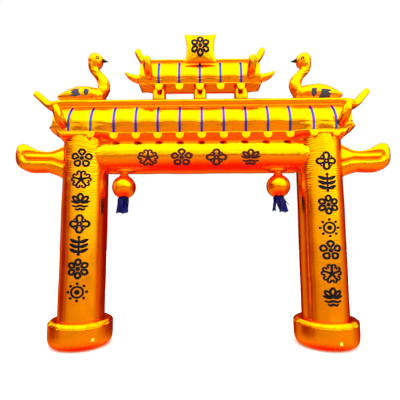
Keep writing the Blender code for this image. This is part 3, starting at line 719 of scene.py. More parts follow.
# --- roofs -------------------------------------------------------------------------------
def column_nearness(x):
    """1 over a column, 0 in the open span, and about a half at the roof's end."""
    span_edge, span_fade = 1.32, 0.26
    end_edge, end_fade, end_drop = 2.10, 0.19, 0.55
    return ease((abs(x) - span_edge) / span_fade) * (1 - end_drop * ease((abs(x) - end_edge) / end_fade))


def eave_row(roof):
    """Number of the point of a roof section that lies on the eave seam."""
    return FACE_STEPS * (len(roof["face"]) - 1)


def roof_half(roof, x, seed):
    """Points down one half of a roof at x, as (depth, height), gathers included."""
    end_reach, end_flare = 0.14, 0.02
    recess_end, recess_fade = 1.64, 0.10
    reach = abs(x)
    end = ease((reach - roof["half_length"] + end_reach) / end_reach)
    offset = x - round(x / roof["pitch"]) * roof["pitch"]
    flat = sizes().band_width / 2
    bay = max(abs(offset) - flat, 0.0) / (roof["pitch"] / 2 - flat)
    puff = sizes().bay_bulge * math.sin(math.pi / 2 * bay) ** 0.7 * (1 - end)
    push = roof["column_push"] * column_nearness(x)
    top, eave = roof["top"], roof["face"][-1][1]
    face = []
    for depth, height in roof["face"]:
        share = (top - height) / (top - eave)
        out = depth + push * share + puff * math.sin(math.pi * share) + end_flare * end * share
        face.append((out, height + roof["end_lift"] * end * share ** 3))
    over_column = ease((reach - recess_end) / recess_fade)
    under = [face[-1]]
    for (depth, height), (end_depth, end_height) in zip(roof["under"], roof["end_under"]):
        depth += (end_depth - depth) * over_column + 0.9 * push * (depth > 0.2)
        height += (end_height - height) * over_column + roof["end_under_lift"] * end
        under.append((depth, height))
    section = smooth_rows(face, FACE_STEPS) + smooth_rows(under, UNDER_STEPS)[1:]
    return relieved(section, offset, x, seed, roof, end)


def relieved(section, offset, x, seed, roof, end):
    """Move a roof section along its normals: gathers at the seams, a crease, and crumpled ends."""
    crease_swag, crease_stray, crease_depth, crease_width = 0.010, 0.012, 0.0035, 0.008
    depth, seam = sizes().gather_depth, eave_row(roof)
    lengths = lengths_along(section)
    crease = roof["crease"] + crease_swag * abs(math.sin(math.pi * x / roof["pitch"]))
    crease += crease_stray * wander(x / 0.11, seed)
    out = []
    for i, (y, z) in enumerate(section):
        normal = outward(section, i)
        move = 0.6 * depth * gather(x, lengths[i] - lengths[seam], seed, reach=0.038)
        if i < seam:
            move += 0.5 * depth * gather(lengths[i], offset, seed + x, reach=0.028, pitch=0.034)
            move += 0.6 * dent(x, lengths[i], seed, size=0.22) * ease(lengths[i] / 0.08)
            move -= crease_depth * math.exp(-((z - crease) / crease_width) ** 2) * (1 - end)
        move += end * depth * 1.4 * wander(x / 0.05, lengths[i] / 0.035, seed + 5)
        move *= ease(i / 3)
        out.append((y + normal[0] * move, z + normal[1] * move))
    return out


def roof_ring(roof, x):
    front, back = (roof_half(roof, x, ROOF_SEEDS[side]) for _, side in FACES)
    return ([(-depth, height) for depth, height in front] + [(0.0, front[-1][1])]
            + [(depth, height) for depth, height in reversed(back)])


def roof_stations(roof):
    """Places of the rings along a roof: one at each band's middle and edges, the rest between."""
    half, pitch, flat = roof["half_length"], roof["pitch"], sizes().band_width / 2
    bay_shares = (0.05, 0.13, 0.25, 0.40, 0.60, 0.80)
    across = [0.0, flat * 0.5, flat, *(flat + (pitch / 2 - flat) * share for share in bay_shares), pitch / 2]
    most = math.ceil(half / pitch) + 1
    found = {round(k * pitch + side * step, 6)
             for k in range(-most, most + 1) for step in across for side in (-1, 1)}
    return [-half] + sorted(x for x in found if abs(x) < half - 0.004) + [half]


def roof_end(roof, sign):
    """Rings that close one end of a roof, from its edge inward, with a drawn-out corner at the eaves."""
    half, eave = roof["half_length"], roof["face"][-1][1]
    middle = (roof["top"] + eave) / 2
    corner_height, fold_depth, cushion = 0.050, 0.016, 0.010
    edge = roof_ring(roof, sign * half)
    rings = []
    for share in (1.0, 0.93, 0.85, 0.74, 0.62, 0.48, 0.33, 0.18, 0.06):
        ring = []
        for y, z in edge:
            tip = math.exp(-((z - eave - roof["end_lift"]) / corner_height) ** 2)
            out = half + cushion * (1 - share) + roof["corner"] * tip * max(0.0, 2 * share - 1) ** 2
            fold = math.sin(9 * math.atan2(z - middle, y) + 3 * sign) * share * (1 - share)
            ring.append((sign * (out + fold_depth * fold) + roof["shift"], y * share,
                         middle + (z - middle) * share))
        rings.append(ring)
    return rings


def build_roof(roof):
    rings = [[(x + roof["shift"], y, z) for y, z in roof_ring(roof, x)] for x in roof_stations(roof)]
    rings = roof_end(roof, -1)[::-1] + rings + roof_end(roof, 1)
    gold_piece(f"roof_{roof['level']}", rings, 0.95)


def build_bands(roof):
    """Narrow bands sewn down the roof seams, front and back."""
    level, width, parts = roof["level"], sizes().band_width, []
    for _, side in FACES:
        for k in roof["bands"]:
            rows = []
            for across in (-1.0, -0.5, 0.0, 0.5, 1.0):
                x = k * roof["pitch"] + across * width / 2
                face = roof_half(roof, x, ROOF_SEEDS[side])[1:eave_row(roof) + 1]
                rows.append([(x + roof["shift"], side * (depth + BAND_LIFT), z) for depth, z in face])
            parts.append(skin(rows, closed=False, capped=False))
    obj = piece(f"roof_{level}_bands", *joined(parts), blue_band_cloth(), "gold_cloth")
    lengths_along(roof["face"])[-1]


# --- eave strips -------------------------------------------------------------------------
def strip_drop(roof, face, x):
    """How far an eave strip hangs at x, and whether a tongue does: round-ended, one under a band."""
    plain = roof["strip_drop"][face]
    for k in roof["tongues"] if face == "front" else ():
        share = abs(x - k * roof["pitch"]) / (roof["tongue_width"] / 2)
        if share < 1.0:
            return plain + (roof["tongue_drop"] - plain) * (0.35 + 0.65 * math.sqrt(1 - share ** 2)), True
    return plain, False


def build_eave_trim(roof, face, side):
    """A thin cloth strip on the eave seam. The front one's tongues swing a little away from the roof."""
    half = roof["half_length"] - 0.15
    ring_gap, tucked, rows_down = 0.009, 0.004, 6
    count = int(2 * half / ring_gap)
    rings, drops = [], []
    for i in range(count + 1):
        x = -half + 2 * half * i / count
        depth, seam = roof_half(roof, x, ROOF_SEEDS[side])[eave_row(roof)]
        drop, loose = strip_drop(roof, face, x)
        swing = (0.006 + 0.006 * wander(x / 0.21, side)) * loose
        outer_line, inner_line = [], []
        for step in range(rows_down + 1):
            t = step / rows_down
            z = seam + tucked - (tucked + drop) * t
            hang = swing * t + 0.003 * wander(x / 0.05, t, 3.0) * t
            outer = side * (depth + TRIM_LIFT + hang)
            outer_line.append((x + roof["shift"], outer, z))
            inner_line.append((x + roof["shift"], outer - side * TRIM_THICK, z))
        rings.append(outer_line + inner_line[::-1])
        drops.append(drop)
    obj = gold_piece(f"eave_trim_{roof['level']}_{face}", rings)


# --- ridges and horns --------------------------------------------------------------------
def cushion_relief(seed):
    """Gathers along the two side seams of a ridge, over soft dents."""
    def relief(share, angle, length):
        seam = math.exp(-abs(math.sin(angle)) / 0.35)
        fold = math.sin(2 * math.pi * (length / 0.052 + 0.9 * wander(length / 0.10, seed)))
        strength = 0.4 + 1.6 * wander(length / 0.16, seed + 4)
        return 0.0015 * seam * fold * strength + 0.4 * dent(length, angle, seed, size=0.2)
    return relief


def build_ridge(level):
    """A long cushion on a roof. Its sides lean in by draw_in, a share of its depth, and tuck under.

    The right-hand horn sags before it turns up.
    """
    ridge = RIDGES[level]
    sag_place, sag_reach, ring_gap = 2.54, 0.11, 0.012
    lean_start, lean_fade = 0.10, 0.16
    tuck, tuck_start = 1.25, 0.55
    right = smooth_rows(ridge["end"], 6)
    half, *middle_row = ridge["end"][0]
    flat_count = int(2 * half / ring_gap)
    flat = [(-half + 2 * half * i / flat_count, *middle_row) for i in range(1, flat_count)]
    sagged = [(x, y, z - ridge["sag"] * math.exp(-((x - sag_place) / sag_reach) ** 2), *size)
              for x, y, z, *size in right]
    rows = moved(mirrored(right, -1)[::-1] + flat + sagged, ridge["shift"])
    rings = swept_rings(rows, 44, corner_power=ridge["corner_power"], relief=cushion_relief(ridge["seed"]))
    for row, ring in zip(rows, rings):
        top, bottom = max(p.z for p in ring), min(p.z for p in ring)
        lean = 1 - ease((abs(row[0] - ridge["shift"]) - half + lean_start) / lean_fade)
        for point in ring:
            down = (top - point.z) / (top - bottom)
            point.y *= 1 - lean * (ridge["draw_in"] * down + tuck * max(0.0, down - tuck_start) ** 2)
    gold_piece(f"ridge_{level}", rings, 0.95)


def build_whole_roof(roof):
    """A roof with its bands, its eave strips and the ridge on top."""
    build_roof(roof)
    build_bands(roof)
    for face, side in FACES:
        build_eave_trim(roof, face, side)
    build_ridge(roof["level"])


def horn_relief(seed):
    """Slack folds that run along a horn with a slow twist, and puckers at its side seams."""
    def relief(share, angle, length):
        turn = angle + 1.6 * wander(length / 0.14, seed)
        slack = 0.35 + 0.9 * abs(wander(length / 0.09, math.cos(angle), seed + 2))
        pucker = math.sin(2 * math.pi * (length / 0.045 + wander(length, seed)))
        seam = math.exp(-abs(math.sin(angle)) / 0.3) * pucker
        return (0.0042 * slack * math.sin(5 * turn + seed) + 0.0016 * seam) * (1 - share ** 4)
    return relief


def build_one_horn(node_name, rows, side, seed):
    gold_piece(node_name, swept_rings(smooth_rows(rows, 8), 44, side=side, relief=horn_relief(seed)), 0.85)


def build_horns():
    """The hip horns at the roofs' corners, which stand in the YZ plane, and the upper roof's side horns."""
    for name, sign_x in SIDES:
        for face, sign_y in (("front", 1), ("back", -1)):
            seed = 3 * sign_x + 7 * sign_y
            lower = mirrored(LOWER_HORN, sign_x, sign_y)
            upper = moved(mirrored(UPPER_HORN, sign_x, sign_y), UPPER_SHIFT)
            build_one_horn(f"hip_lower_{face}_{name}", lower, (1, 0, 0), seed)
            build_one_horn(f"hip_upper_{face}_{name}", upper, (1, 0, 0), seed + 1)
        side_horn = moved(mirrored(SIDE_HORN, sign_x), UPPER_SHIFT)
        build_one_horn(f"side_horn_{name}", side_horn, (0, 1, 0), 5 * sign_x)


# --- posts and tablet --------------------------------------------------------------------
def build_posts():
    """Soft square posts: panels swollen a little between drawn-in ends."""
    corner_power, drawn_in, swell_share, rows_up = 0.42, 0.12, 0.03, 24
    width_share = 0.985
    low_z, high_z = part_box("post_middle")[0].z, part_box("post_middle")[1].z
    for name in ("left", "middle", "right"):
        node_name = f"post_{name}"
        centre, size = middle_of(node_name), size_of(node_name)
        rings = []
        for i in range(rows_up + 1):
            t = i / rows_up
            from_end = min(t, 1 - t)
            shut = 1 - (1 - ease(from_end / 0.10)) * drawn_in
            swell = 1 + swell_share * math.sin(math.pi * t)
            ring = []
            for angle in ring_angles(64):
                x = boxy(math.cos(angle), corner_power) * size.x / 2
                y = boxy(math.sin(angle), corner_power) * size.y / 2
                fold = 0.002 * gather(angle * 0.12, from_end * 0.2, centre.x, reach=0.03, pitch=0.04)
                ring.append((centre.x + (x * swell + fold) * shut * width_share,
                             centre.y + (y * swell + fold) * shut * width_share,
                             low_z + (high_z - low_z) * t))
            rings.append(ring)
        gold_piece(node_name, rings, 0.9)


def tablet_point(u, v, side):
    """A point of the tablet cushion. u and v run from -1 to 1, side is -1 at the front."""
    centre = middle_of("tablet")
    half_width, half_height, half_thick = 0.262, 0.250, 0.086
    waist_depth, top_dip, bottom_belly, corner_loss, keel_loss = 0.165, 0.135, 0.03, 0.02, 0.10
    blunt = 1 - corner_loss * ease((abs(u) + abs(v) - 1.80) / 0.20)
    waist = 1 - waist_depth * (1 - v * v)
    edge = 1 - top_dip * (1 - u * u) if v >= 0 else 1 + bottom_belly * (1 - u * u)
    x = u * half_width * (waist * blunt)
    z = v * half_height * (edge * abs(v) + (1 - abs(v))) * blunt
    crown = ((1 - u * u) * (1 - v * v)) ** 0.55
    keel = 1 - keel_loss * ease((-v - 0.15) / 0.5) * (1 - abs(u))
    from_corner = min(math.dist((u, v), (a, b)) for a in (-1, 1) for b in (-1, 1))
    turn = math.atan2(abs(v) - 1.15, abs(u) - 1.15)
    fold = 0.006 * math.exp(-from_corner / 0.5) * math.sin(16 * turn) * crown
    pucker = 0.004 * gather(u * 0.25 + v * 0.3, 1 - max(abs(u), abs(v)), 4.0, reach=0.10, pitch=0.05)
    y = side * (half_thick * crown * keel + (fold + pucker) * (crown > 0.01))
    return centre.x + x, centre.y + y, centre.z + z


def merge_rims(shape):
    """Sew two sheets together where their rims meet."""
    bmesh.ops.remove_doubles(shape, verts=shape.verts, dist=0.0002)
    face_outward(shape)


def build_tablet():
    """Two bowed sheets sewn together round their rims, like a cushion with four drawn-out corners."""
    count, parts = 44, []
    steps = [math.sin(math.pi / 2 * (-1 + 2 * i / count)) for i in range(count + 1)]
    for _, side in FACES:
        rows = [[tablet_point(u, v, side) for u in steps] for v in steps]
        parts.append(skin(rows, closed=False, capped=False))
    obj = piece("tablet_cloth", *joined(parts), metallised_cloth(), "gold_cloth", ["tablet"])
    reshaped(obj.data, merge_rims)


# --- scrolls -----------------------------------------------------------------------------
def channel_depth(x, z):
    """Depth of the sewn channel, which runs out along the top of the lobe and back under it."""
    top, bottom, outer = 2.925, 2.808, 2.790
    trough, trough_width, seam, seam_width = 0.030, 0.026, 0.012, 0.008
    middle, half = (top + bottom) / 2, (top - bottom) / 2
    spread = 0.060 * ease((2.42 - x) / 0.22)
    if x > outer:
        off = abs(math.hypot(x - outer, z - middle) - half)
    else:
        off = abs(abs(z - middle) - half - spread)
    return trough * math.exp(-(off / trough_width) ** 2) + seam * math.exp(-(off / seam_width) ** 2)


def build_scrolls():
    """Flat scrolls: an outline swept outward, with a channel sewn into both faces."""
    corner_power, settle_run, fold_height = 0.8, 0.6, 0.004
    for name, sign in SIDES:
        shift, lift = SCROLL_SHIFT[name]
        rings = []
        for x, bottom, top, thick in smooth_rows(SCROLL, 6):
            eased = ease((x - SCROLL[0][0]) / settle_run)
            ring = []
            for angle in ring_angles(120):
                across, out = math.sin(angle), math.cos(angle)
                z = (top + bottom) / 2 + across * (top - bottom) / 2
                y = boxy(out, corner_power) * thick
                y -= math.copysign(min(channel_depth(x, z), 0.7 * abs(y)), out)
                seam = math.exp(-abs(out) / 0.3)
                y += math.copysign(fold_height * (1 - seam) * wander(x / 0.06, z / 0.05, sign * 3), out)
                fold = math.sin(2 * math.pi * (x / 0.042 + wander(x / 0.1, sign, across)))
                fold *= fold_height * seam
                ring.append((sign * (x + shift * eased), y, z + lift * eased + fold * across))
            rings.append(ring)
        gold_piece(f"scroll_{name}", rings, 0.9)


# --- birds -------------------------------------------------------------------------------
def filled_outline(outline, y):
    """A flat outline at depth y, cut into small triangles so that it can wrap a curved body."""
    longest, most_cuts = 0.012, 4
    shape = bmesh.new()
    shape.faces.new([shape.verts.new((x, y, z)) for x, z in outline]).normal_update()
    bmesh.ops.triangulate(shape, faces=shape.faces)
    for _ in range(most_cuts):
        long_edges = [e for e in shape.edges if e.calc_length() > longest]
        if long_edges:
            bmesh.ops.subdivide_edges(shape, edges=long_edges, cuts=1)
            bmesh.ops.triangulate(shape, faces=shape.faces)
    shape.verts.index_update()
    found = [tuple(v.co) for v in shape.verts], [tuple(v.index for v in f.verts) for f in shape.faces]
    shape.free()
    return found


def apply_modifiers(obj):
    """Bake an object's modifiers into its mesh."""
    made = bpy.data.meshes.new_from_object(obj.evaluated_get(bpy.context.evaluated_depsgraph_get()))
    old = obj.data
    obj.modifiers.clear()
    obj.data = made
    bpy.data.meshes.remove(old)


def drop_missed(shape):
    """Delete the points of a print that found no surface in front of them."""
    missed = [v for v in shape.verts if abs(v.co.y) > PRINT_MISSED]
    bmesh.ops.delete(shape, geom=missed, context="VERTS")


def lay_on(obj, target, direction):
    """Press a flat print onto the surface in front of it."""
    wrap = obj.modifiers.new("lay", "SHRINKWRAP")
    wrap.target = target
    wrap.wrap_method = "PROJECT"
    wrap.use_project_x = wrap.use_project_z = False
    wrap.use_project_y = True
    wrap.use_negative_direction = direction < 0
    wrap.use_positive_direction = direction > 0
    wrap.offset = PRINT_LIFT
    apply_modifiers(obj)
    reshaped(obj.data, drop_missed)


def build_birds():
    """Body and neck fused into one soft skin, with folds, printed wing patches and eyes, and a beak."""
    for name, sign in SIDES:
        body = swept_rings(smooth_rows(mirrored(settled(BIRD_BODY, name), sign), 4), 40)
        body = [[(p.x, p.y, max(p.z, SEAT + 0.001)) for p in ring] for ring in body]
        neck = swept_rings(smooth_rows(mirrored(settled(BIRD_NECK, name), sign), 4), 36)
        obj = piece(f"bird_{name}_cloth", *joined([skin(body), skin(neck)]), metallised_cloth(),
                    "gold_cloth", [f"bird_{name}"])
        fuse = obj.modifiers.new("fuse", "REMESH")
        fuse.mode = "VOXEL"
        fuse.voxel_size = 0.008
        soften = obj.modifiers.new("soften", "SMOOTH")
        soften.factor = 0.5
        soften.iterations = 4
        apply_modifiers(obj)
        fold_bird(obj, name, sign)
        obj.data.shade_smooth()
        for where, face in FACES:
            for number, outline in enumerate(WING_PATCHES[name]):
                flat = filled_outline([(sign * x, z) for x, z in outline], face * PRINT_START)
                patch = piece(f"bird_{name}_patch_{where}_{number}", *flat, printed_feathers(), "black_cloth")
                lay_on(patch, obj, -face)
        build_beak(name, sign)
        build_eyes(name, sign, obj)


def fold_bird(obj, name, sign):
    """A few slack folds across the bent neck, and long curved ones down the breast."""
    shift = BIRD_SHIFT[name][0]
    neck_fold, neck_pitch, breast_fold = 0.0058, 0.052, 0.0055
    breast_hub_x, breast_hub_z = 1.58, 3.72
    for vertex in obj.data.vertices:
        x, y, z = sign * vertex.co.x - shift, vertex.co.y, vertex.co.z
        if z < SEAT + 0.02:
            continue
        on_neck = ease((z - 3.98) / 0.10) * (1 - ease((z - 4.36) / 0.12))
        slant = z - 0.45 * (x - 1.65)
        fold = math.sin(2 * math.pi * (slant / neck_pitch + 1.5 * wander(slant / 0.10, y / 0.08, sign)))
        move = neck_fold * on_neck * fold * (0.35 + 1.6 * wander(slant / 0.08, y / 0.05, sign + 3))
        on_breast = ease((1.84 - x) / 0.12) * (1 - ease((z - 4.06) / 0.10))
        ray = math.atan2(z - breast_hub_z, x - breast_hub_x)
        move += breast_fold * on_breast * math.sin(10 * ray + 3.0 * wander(x / 0.1, z / 0.1, sign))
        move += (0.8 - 0.6 * ease((z - 4.30) / 0.10)) * dent(x, y, z, sign, size=0.14)
        vertex.co += vertex.normal * move


def build_beak(name, sign):
    """A small cone that swells a little near its root and dips in the middle."""
    shift, lift = BIRD_SHIFT[name]
    root = Vector((sign * (BEAK_ROOT[0] + shift), 0, BEAK_ROOT[1] + lift))
    tip = Vector((sign * (BEAK_TIP[0] + shift), 0, BEAK_TIP[1] + lift))
    count, dip, end_radius, height_share = 14, 0.004, 0.003, 0.92
    rows = []
    for i in range(count + 1):
        t = i / count
        point = root.lerp(tip, t)
        r = BEAK_R * (1 - t) ** 0.8 * (1 + 0.12 * math.sin(2 * math.pi * t)) + end_radius * (1 - t ** 8)
        rows.append((point.x, 0.0, point.z - dip * math.sin(math.pi * t), r * height_share, r))
    piece(f"beak_{name}_cloth", *skin(swept_rings(rows, 24)), black_cloth(), "black_cloth",
          [f"beak_{name}"], fill=0.8)


def build_eyes(name, sign, bird):
    """A printed ring on each side of the head."""
    x, z = BIRD_EYE[name]
    steps = 28
    turns = [2 * math.pi * k / steps for k in range(steps)]
    for where, face in FACES:
        rows = [[(sign * x + r * math.cos(a), face * PRINT_START, z + r * math.sin(a)) for a in turns]
                for r in EYE_RADII]
        ring = piece(f"bird_{name}_eye_{where}", *skin(rows, capped=False), printed_black(), "black_cloth")
        lay_on(ring, bird, -face)


# --- lanterns ----------------------------------------------------------------------------
def build_lanterns():
    """Balls sewn from eight gores, each hung by a pleated collar and trailing ribbons."""
    ball_r, rows_down = LANTERN_R + 0.005, 64
    tilts = [math.pi / 2 - math.pi * i / rows_down for i in range(rows_down + 1)]
    ball = [(max(ball_r * math.cos(t), 0.001), ball_r * math.sin(t)) for t in tilts]
    for name, sign in SIDES:
        x = LANTERN_X[name]

        def relief(angle, length, height, seed=sign):
            gore = abs(math.sin(4 * angle + 0.4 * seed))
            polar = abs(height) / LANTERN_R
            seam = -0.0035 * math.exp(-gore / 0.10) * (1 - polar ** 6)
            folds = 0.0022 * polar ** 3 * math.sin(36 * angle + 3 * wander(angle, seed))
            return seam + folds + 0.4 * dent(angle * 0.2, height, seed, size=0.12)

        rings = turned_rings(ball, 128, (x, 0, LANTERN_Z), relief)
        gold_piece(f"lantern_ball_{name}", rings, 1.0)
        rings = turned_rings(smooth_rows(LANTERN_COLLAR, 4), 72, (x, 0, 0),
                             lambda angle, length, height: 0.0022 * math.sin(18 * angle + 9 * height))
        gold_piece(f"lantern_collar_{name}", rings, 0.8)
        build_ribbons(name, x)


def ribbon_tie(x):
    """The gathered knot of satin under a ball, and the height of its rim."""
    hugged = LANTERN_R + 0.006
    under = [(r, LANTERN_Z - math.sqrt(hugged ** 2 - r * r) - 0.0005) for r in (0.002, 0.030, 0.055, 0.074)]
    rim = under[-1][1]
    lower = [(0.080, rim - 0.006), (0.074, rim - 0.016), (0.030, rim - 0.022), (0.002, rim - 0.022)]
    rings = turned_rings(under + lower, 48, (x, 0, 0),
                         lambda angle, length, height: 0.002 * math.sin(11 * angle + 30 * length))
    return skin(rings), rim


def ribbon(root, tip, width, number):
    """One ribbon as a thin closed skin. Its number gives it its own twist, sway and cut end."""
    rows_down, cells = 24, 8
    sway_depth, curl, end_cut, cut_start = 0.007, 0.006, 0.012, 0.9
    out = Vector((0, math.copysign(1, root.y), 0))
    rings = []
    for step in range(rows_down + 1):
        t = step / rows_down
        turn = 0.55 * math.sin(number * 2.1 + 3.4 * t)
        across = Vector((math.cos(turn), math.sin(turn), 0))
        facing = Vector((-math.sin(turn), math.cos(turn), 0))
        sway = out * (sway_depth * math.sin(math.pi * t + number) * t)
        middle = root.lerp(tip, t) + sway + Vector((curl * math.sin(5 * t + 2 * number) * t, 0, 0))
        half = width / 2 * (1.15 + 0.15 * math.sin(math.pi * t))
        slope = -end_cut * (number % 2 * 2 - 1)
        front, rear = [], []
        for k in range(cells + 1):
            s = -1 + 2 * k / cells
            bend = facing * (curl * math.sin(2.6 * s + number + 2 * t))
            drop = Vector((0, 0, slope * s)) * ease((t - cut_start) / (1 - cut_start))
            front.append(middle + across * (half * s) + bend + facing * (RIBBON_THICK / 2) + drop)
            rear.append(middle + across * (half * s) + bend - facing * (RIBBON_THICK / 2) + drop)
        rings.append(front + rear[::-1])
    return skin(rings)


def build_ribbons(name, x):
    """Loose satin ribbons from a tie under the ball."""
    tie, rim = ribbon_tie(x)
    parts, total, top = [tie], 0.0, rim - 0.006
    for number, (root_x, root_y, tip_x, tip_y, length, width) in enumerate(RIBBONS[name]):
        root, tip = Vector((x + root_x, root_y, top)), Vector((x + tip_x, tip_y, top - length))
        parts.append(ribbon(root, tip, width, number))
        total += 1.2 * width
    obj = piece(f"lantern_ribbons_{name}_satin", *joined(parts), ribbon_satin(), "navy_ribbon",
                [f"lantern_ribbons_{name}"])


# --- printed ornaments -------------------------------------------------------------------
# A design is a list of brushed lines: points as (u, v) from -1 to 1, width, and how far it tapers.
def stroke(points, width, taper):
    """A brushed line as rows of (u, v) across it, thinner towards both ends."""
    points = [Vector(p) for p in smooth_rows(points, 3)]
    left, right = [], []
    for i, point in enumerate(points):
        before, after = neighbours(points, i)
        along = (after - before).normalized()
        across = Vector((-along.y, along.x))
        t = i / (len(points) - 1)
        half = width / 2 * (1 - taper + taper * math.sin(math.pi * t) ** 0.6)
        left.append(tuple(point + across * half))
        right.append(tuple(point - across * half))
    return [left, [tuple(p) for p in points], right]


def arc(cx, cy, radius, start, end, steps):
    angles = [math.radians(start + (end - start) * i / steps) for i in range(steps + 1)]
    return [(cx + radius * math.cos(a), cy + radius * math.sin(a)) for a in angles]


def circle(cx, cy, radius, steps):
    return arc(cx, cy, radius, 0, 360, steps)


def turned_line(points, degrees):
    c, s = math.cos(math.radians(degrees)), math.sin(math.radians(degrees))
    return [(u * c - v * s, u * s + v * c) for u, v in points]


def petal(length, width, root=0.30):
    """The closed outline of a petal that points along +v."""
    side = [(0.62 * width, 0.32), (width, 0.66), (0.45 * width, 0.93)]
    left = [(-u, root + share * (length - root)) for u, share in side]
    right = [(u, root + share * (length - root)) for u, share in reversed(side)]
    return [(0.0, root), *left, (0.0, length), *right, (0.0, root)]


def rosette(petals):
    """A flower of outlined petals round a full heart."""
    lines = [(circle(0, 0, 0.10, 14), 0.24, 0.0)]
    for i in range(petals):
        lines.append((turned_line(petal(0.96, 1.50 / petals), 360 * i / petals), 0.25, 0.2))
    return lines


def cloud_star(arms):
    """Cloud heads round a full heart, each curled alike to both sides."""
    lines = [(circle(0, 0, 0.11, 14), 0.26, 0.0)]
    for i in range(arms):
        for side in (-1, 1):
            curl = [(0.0, 0.40), (0.05, 0.78), (0.20, 0.90), (0.36, 0.80), (0.34, 0.62), (0.22, 0.58)]
            lines.append((turned_line([(side * u, v) for u, v in curl], 360 * i / arms), 0.19, 0.2))
        lines.append((turned_line([(0.0, 0.16), (0.0, 0.50)], 360 * i / arms), 0.24, 0.0))
    return lines


def beaded_ring(beads):
    """A plain ring round a full heart, with a circle of beads outside it."""
    lines = [(circle(0, 0, 0.54, 24), 0.20, 0.0), (circle(0, 0, 0.12, 14), 0.26, 0.0)]
    for i in range(beads):
        lines.append((turned_line(circle(0, 0.86, 0.06, 8), 360 * i / beads), 0.17, 0.0))
    return lines


def lotus():
    """A water flower seen from the side, over two ripples."""
    lines = []
    for turn, length, width in ((0, 0.98, 0.24), (46, 0.96, 0.18), (-46, 0.96, 0.18)):
        shape = turned_line(petal(length, width, root=0.12), turn)
        lines.append(([(u, v - 0.12) for u, v in shape], 0.23, 0.2))
    for side in (-1, 1):
        lines.append(([(0.0, -0.10), (0.45 * side, -0.08), (0.92 * side, 0.10)], 0.28, 0.7))
    for drop, reach in ((-0.46, 0.78), (-0.80, 0.50)):
        ripple = [(-reach + 2 * reach * i / 10, drop + 0.05 * math.cos(math.pi * (i - 5) / 2.5))
                  for i in range(11)]
        lines.append((ripple, 0.25, 0.5))
    return lines


def lattice_knot():
    """An endless knot: four loops round a small diamond."""
    lines = []
    for turn in (0, 90, 180, 270):
        loop = [(-0.20, 0.22)] + arc(0, 0.62, 0.28, 205, -25, 10) + [(0.20, 0.22)]
        lines.append((turned_line(loop, turn), 0.25, 0.1))
        lines.append((turned_line([(0.46, 0.42), (0.56, 0.52)], turn), 0.24, 0.0))
    lines.append(([(0, 0.20), (0.20, 0), (0, -0.20), (-0.20, 0), (0, 0.20)], 0.20, 0.0))
    return lines


def leaf_spray():
    """Paired full leaves up a short stem, with a bead at each end."""
    lines = [([(0, -0.80), (0.0, 0.0), (0, 0.80)], 0.20, 0.3)]
    for level in (-0.62, -0.12, 0.38):
        for side in (-1, 1):
            leaf = [(0.0, level), (0.42 * side, level + 0.08), (0.88 * side, level + 0.34)]
            lines.append((leaf, 0.38, 0.85))
    for end in (-1, 1):
        lines.append((circle(0, 0.88 * end, 0.06, 10), 0.20, 0.0))
    return lines


def print_on(name, placed, material):
    """Lay strokes on a surface. placed holds (lines, function from u, v to a point)."""
    parts = []
    for lines, surface in placed:
        for points, width, taper in lines:
            rows = stroke(points, width, taper)
            parts.append(skin([[surface(u, v) for u, v in row] for row in rows], closed=False, capped=False))
    piece(name, *joined(parts), material, "gold_cloth")


def on_column(sign, height, turn_degrees):
    """Where a design's points lie on a column. It is a tenth lower than it is wide."""
    half, lift, height_share = sizes().ornament_width / 2, 0.0040, 0.90
    turn = -sign * math.radians(turn_degrees)

    def surface(u, v):
        angle, z = turn + u * half / COLUMN_R, height + v * half * height_share
        r = COLUMN_R + lift + column_relief(sign, angle, z)
        return sign * SPAN + r * math.sin(angle), -r * math.cos(angle), z
    return surface


def on_beam(x):
    """Where a design's points lie on the beam, on the part of the tube that faces a little down."""
    half, lift, facing = sizes().ornament_width / 2, 0.0085, math.radians(-17)
    width_share, height_share = 1.04, 0.84

    def surface(u, v):
        angle = facing + v * half * height_share / BEAM_R
        r = BEAM_R + lift
        return x + u * half * width_share, -r * math.cos(angle), BEAM_Z + r * math.sin(angle)
    return surface


def on_tablet(u, v):
    lift, width_share, height_share, raised = 0.004, 0.68, 0.66, 0.02
    x, y, z = tablet_point(width_share * u, raised + height_share * v, -1)
    return x, y - lift, z


def build_ornaments():
    """Seven ornaments up each column, four along the beam and one on the tablet."""
    designs = (rosette(5), cloud_star(5), lotus(), lattice_knot(), leaf_spray(), rosette(6), beaded_ring(8))
    first_design = {"left": 0, "right": 3}
    for name, sign in SIDES:
        placed = []
        for i, height in enumerate(COLUMN_ORNAMENTS[name], first_design[name]):
            surface = on_column(sign, height, COLUMN_ORNAMENT_TURN[name])
            placed.append((designs[i % len(designs)], surface))
        print_on(f"column_{name}_ornaments", placed, printed_black())
    order = (cloud_star(5), rosette(5), lattice_knot(), lotus())
    print_on("beam_ornaments", [(d, on_beam(x)) for d, x in zip(order, BEAM_ORNAMENTS)], printed_brown())
    print_on("tablet_ornament", [(rosette(6), on_tablet)], printed_black())


# --- tie tabs ----------------------------------------------------------------------------
def build_tie_tabs():
    """Folded webbing loops sewn flat on the bases."""
    corner_power, bevel = 0.45, 0.93
    for name, sign in SIDES:
        node_name = f"tie_tab_{name}"
        centre = middle_of(node_name)
        flat = Vector((centre.x - sign * SPAN, centre.y, 0)).normalized()
        side = Vector((-flat.y, flat.x, 0))
        parts = []
        for width, height, thick, drop in TAB_LAYERS:
            rings = []
            for share, shrink in ((-0.5, bevel), (-0.25, 1.0), (0.25, 1.0), (0.5, bevel)):
                ring = []
                for angle in ring_angles(24):
                    across = boxy(math.cos(angle), corner_power) * width / 2 * shrink
                    up = boxy(math.sin(angle), corner_power) * height / 2 * shrink + drop
                    ring.append(centre + side * across + Vector((0, 0, up)) + flat * (share * thick))
                rings.append(ring)
            parts.append(skin(rings))
        obj = piece(f"{node_name}_webbing", *joined(parts), yellow_webbing(), "yellow_webbing", [node_name])


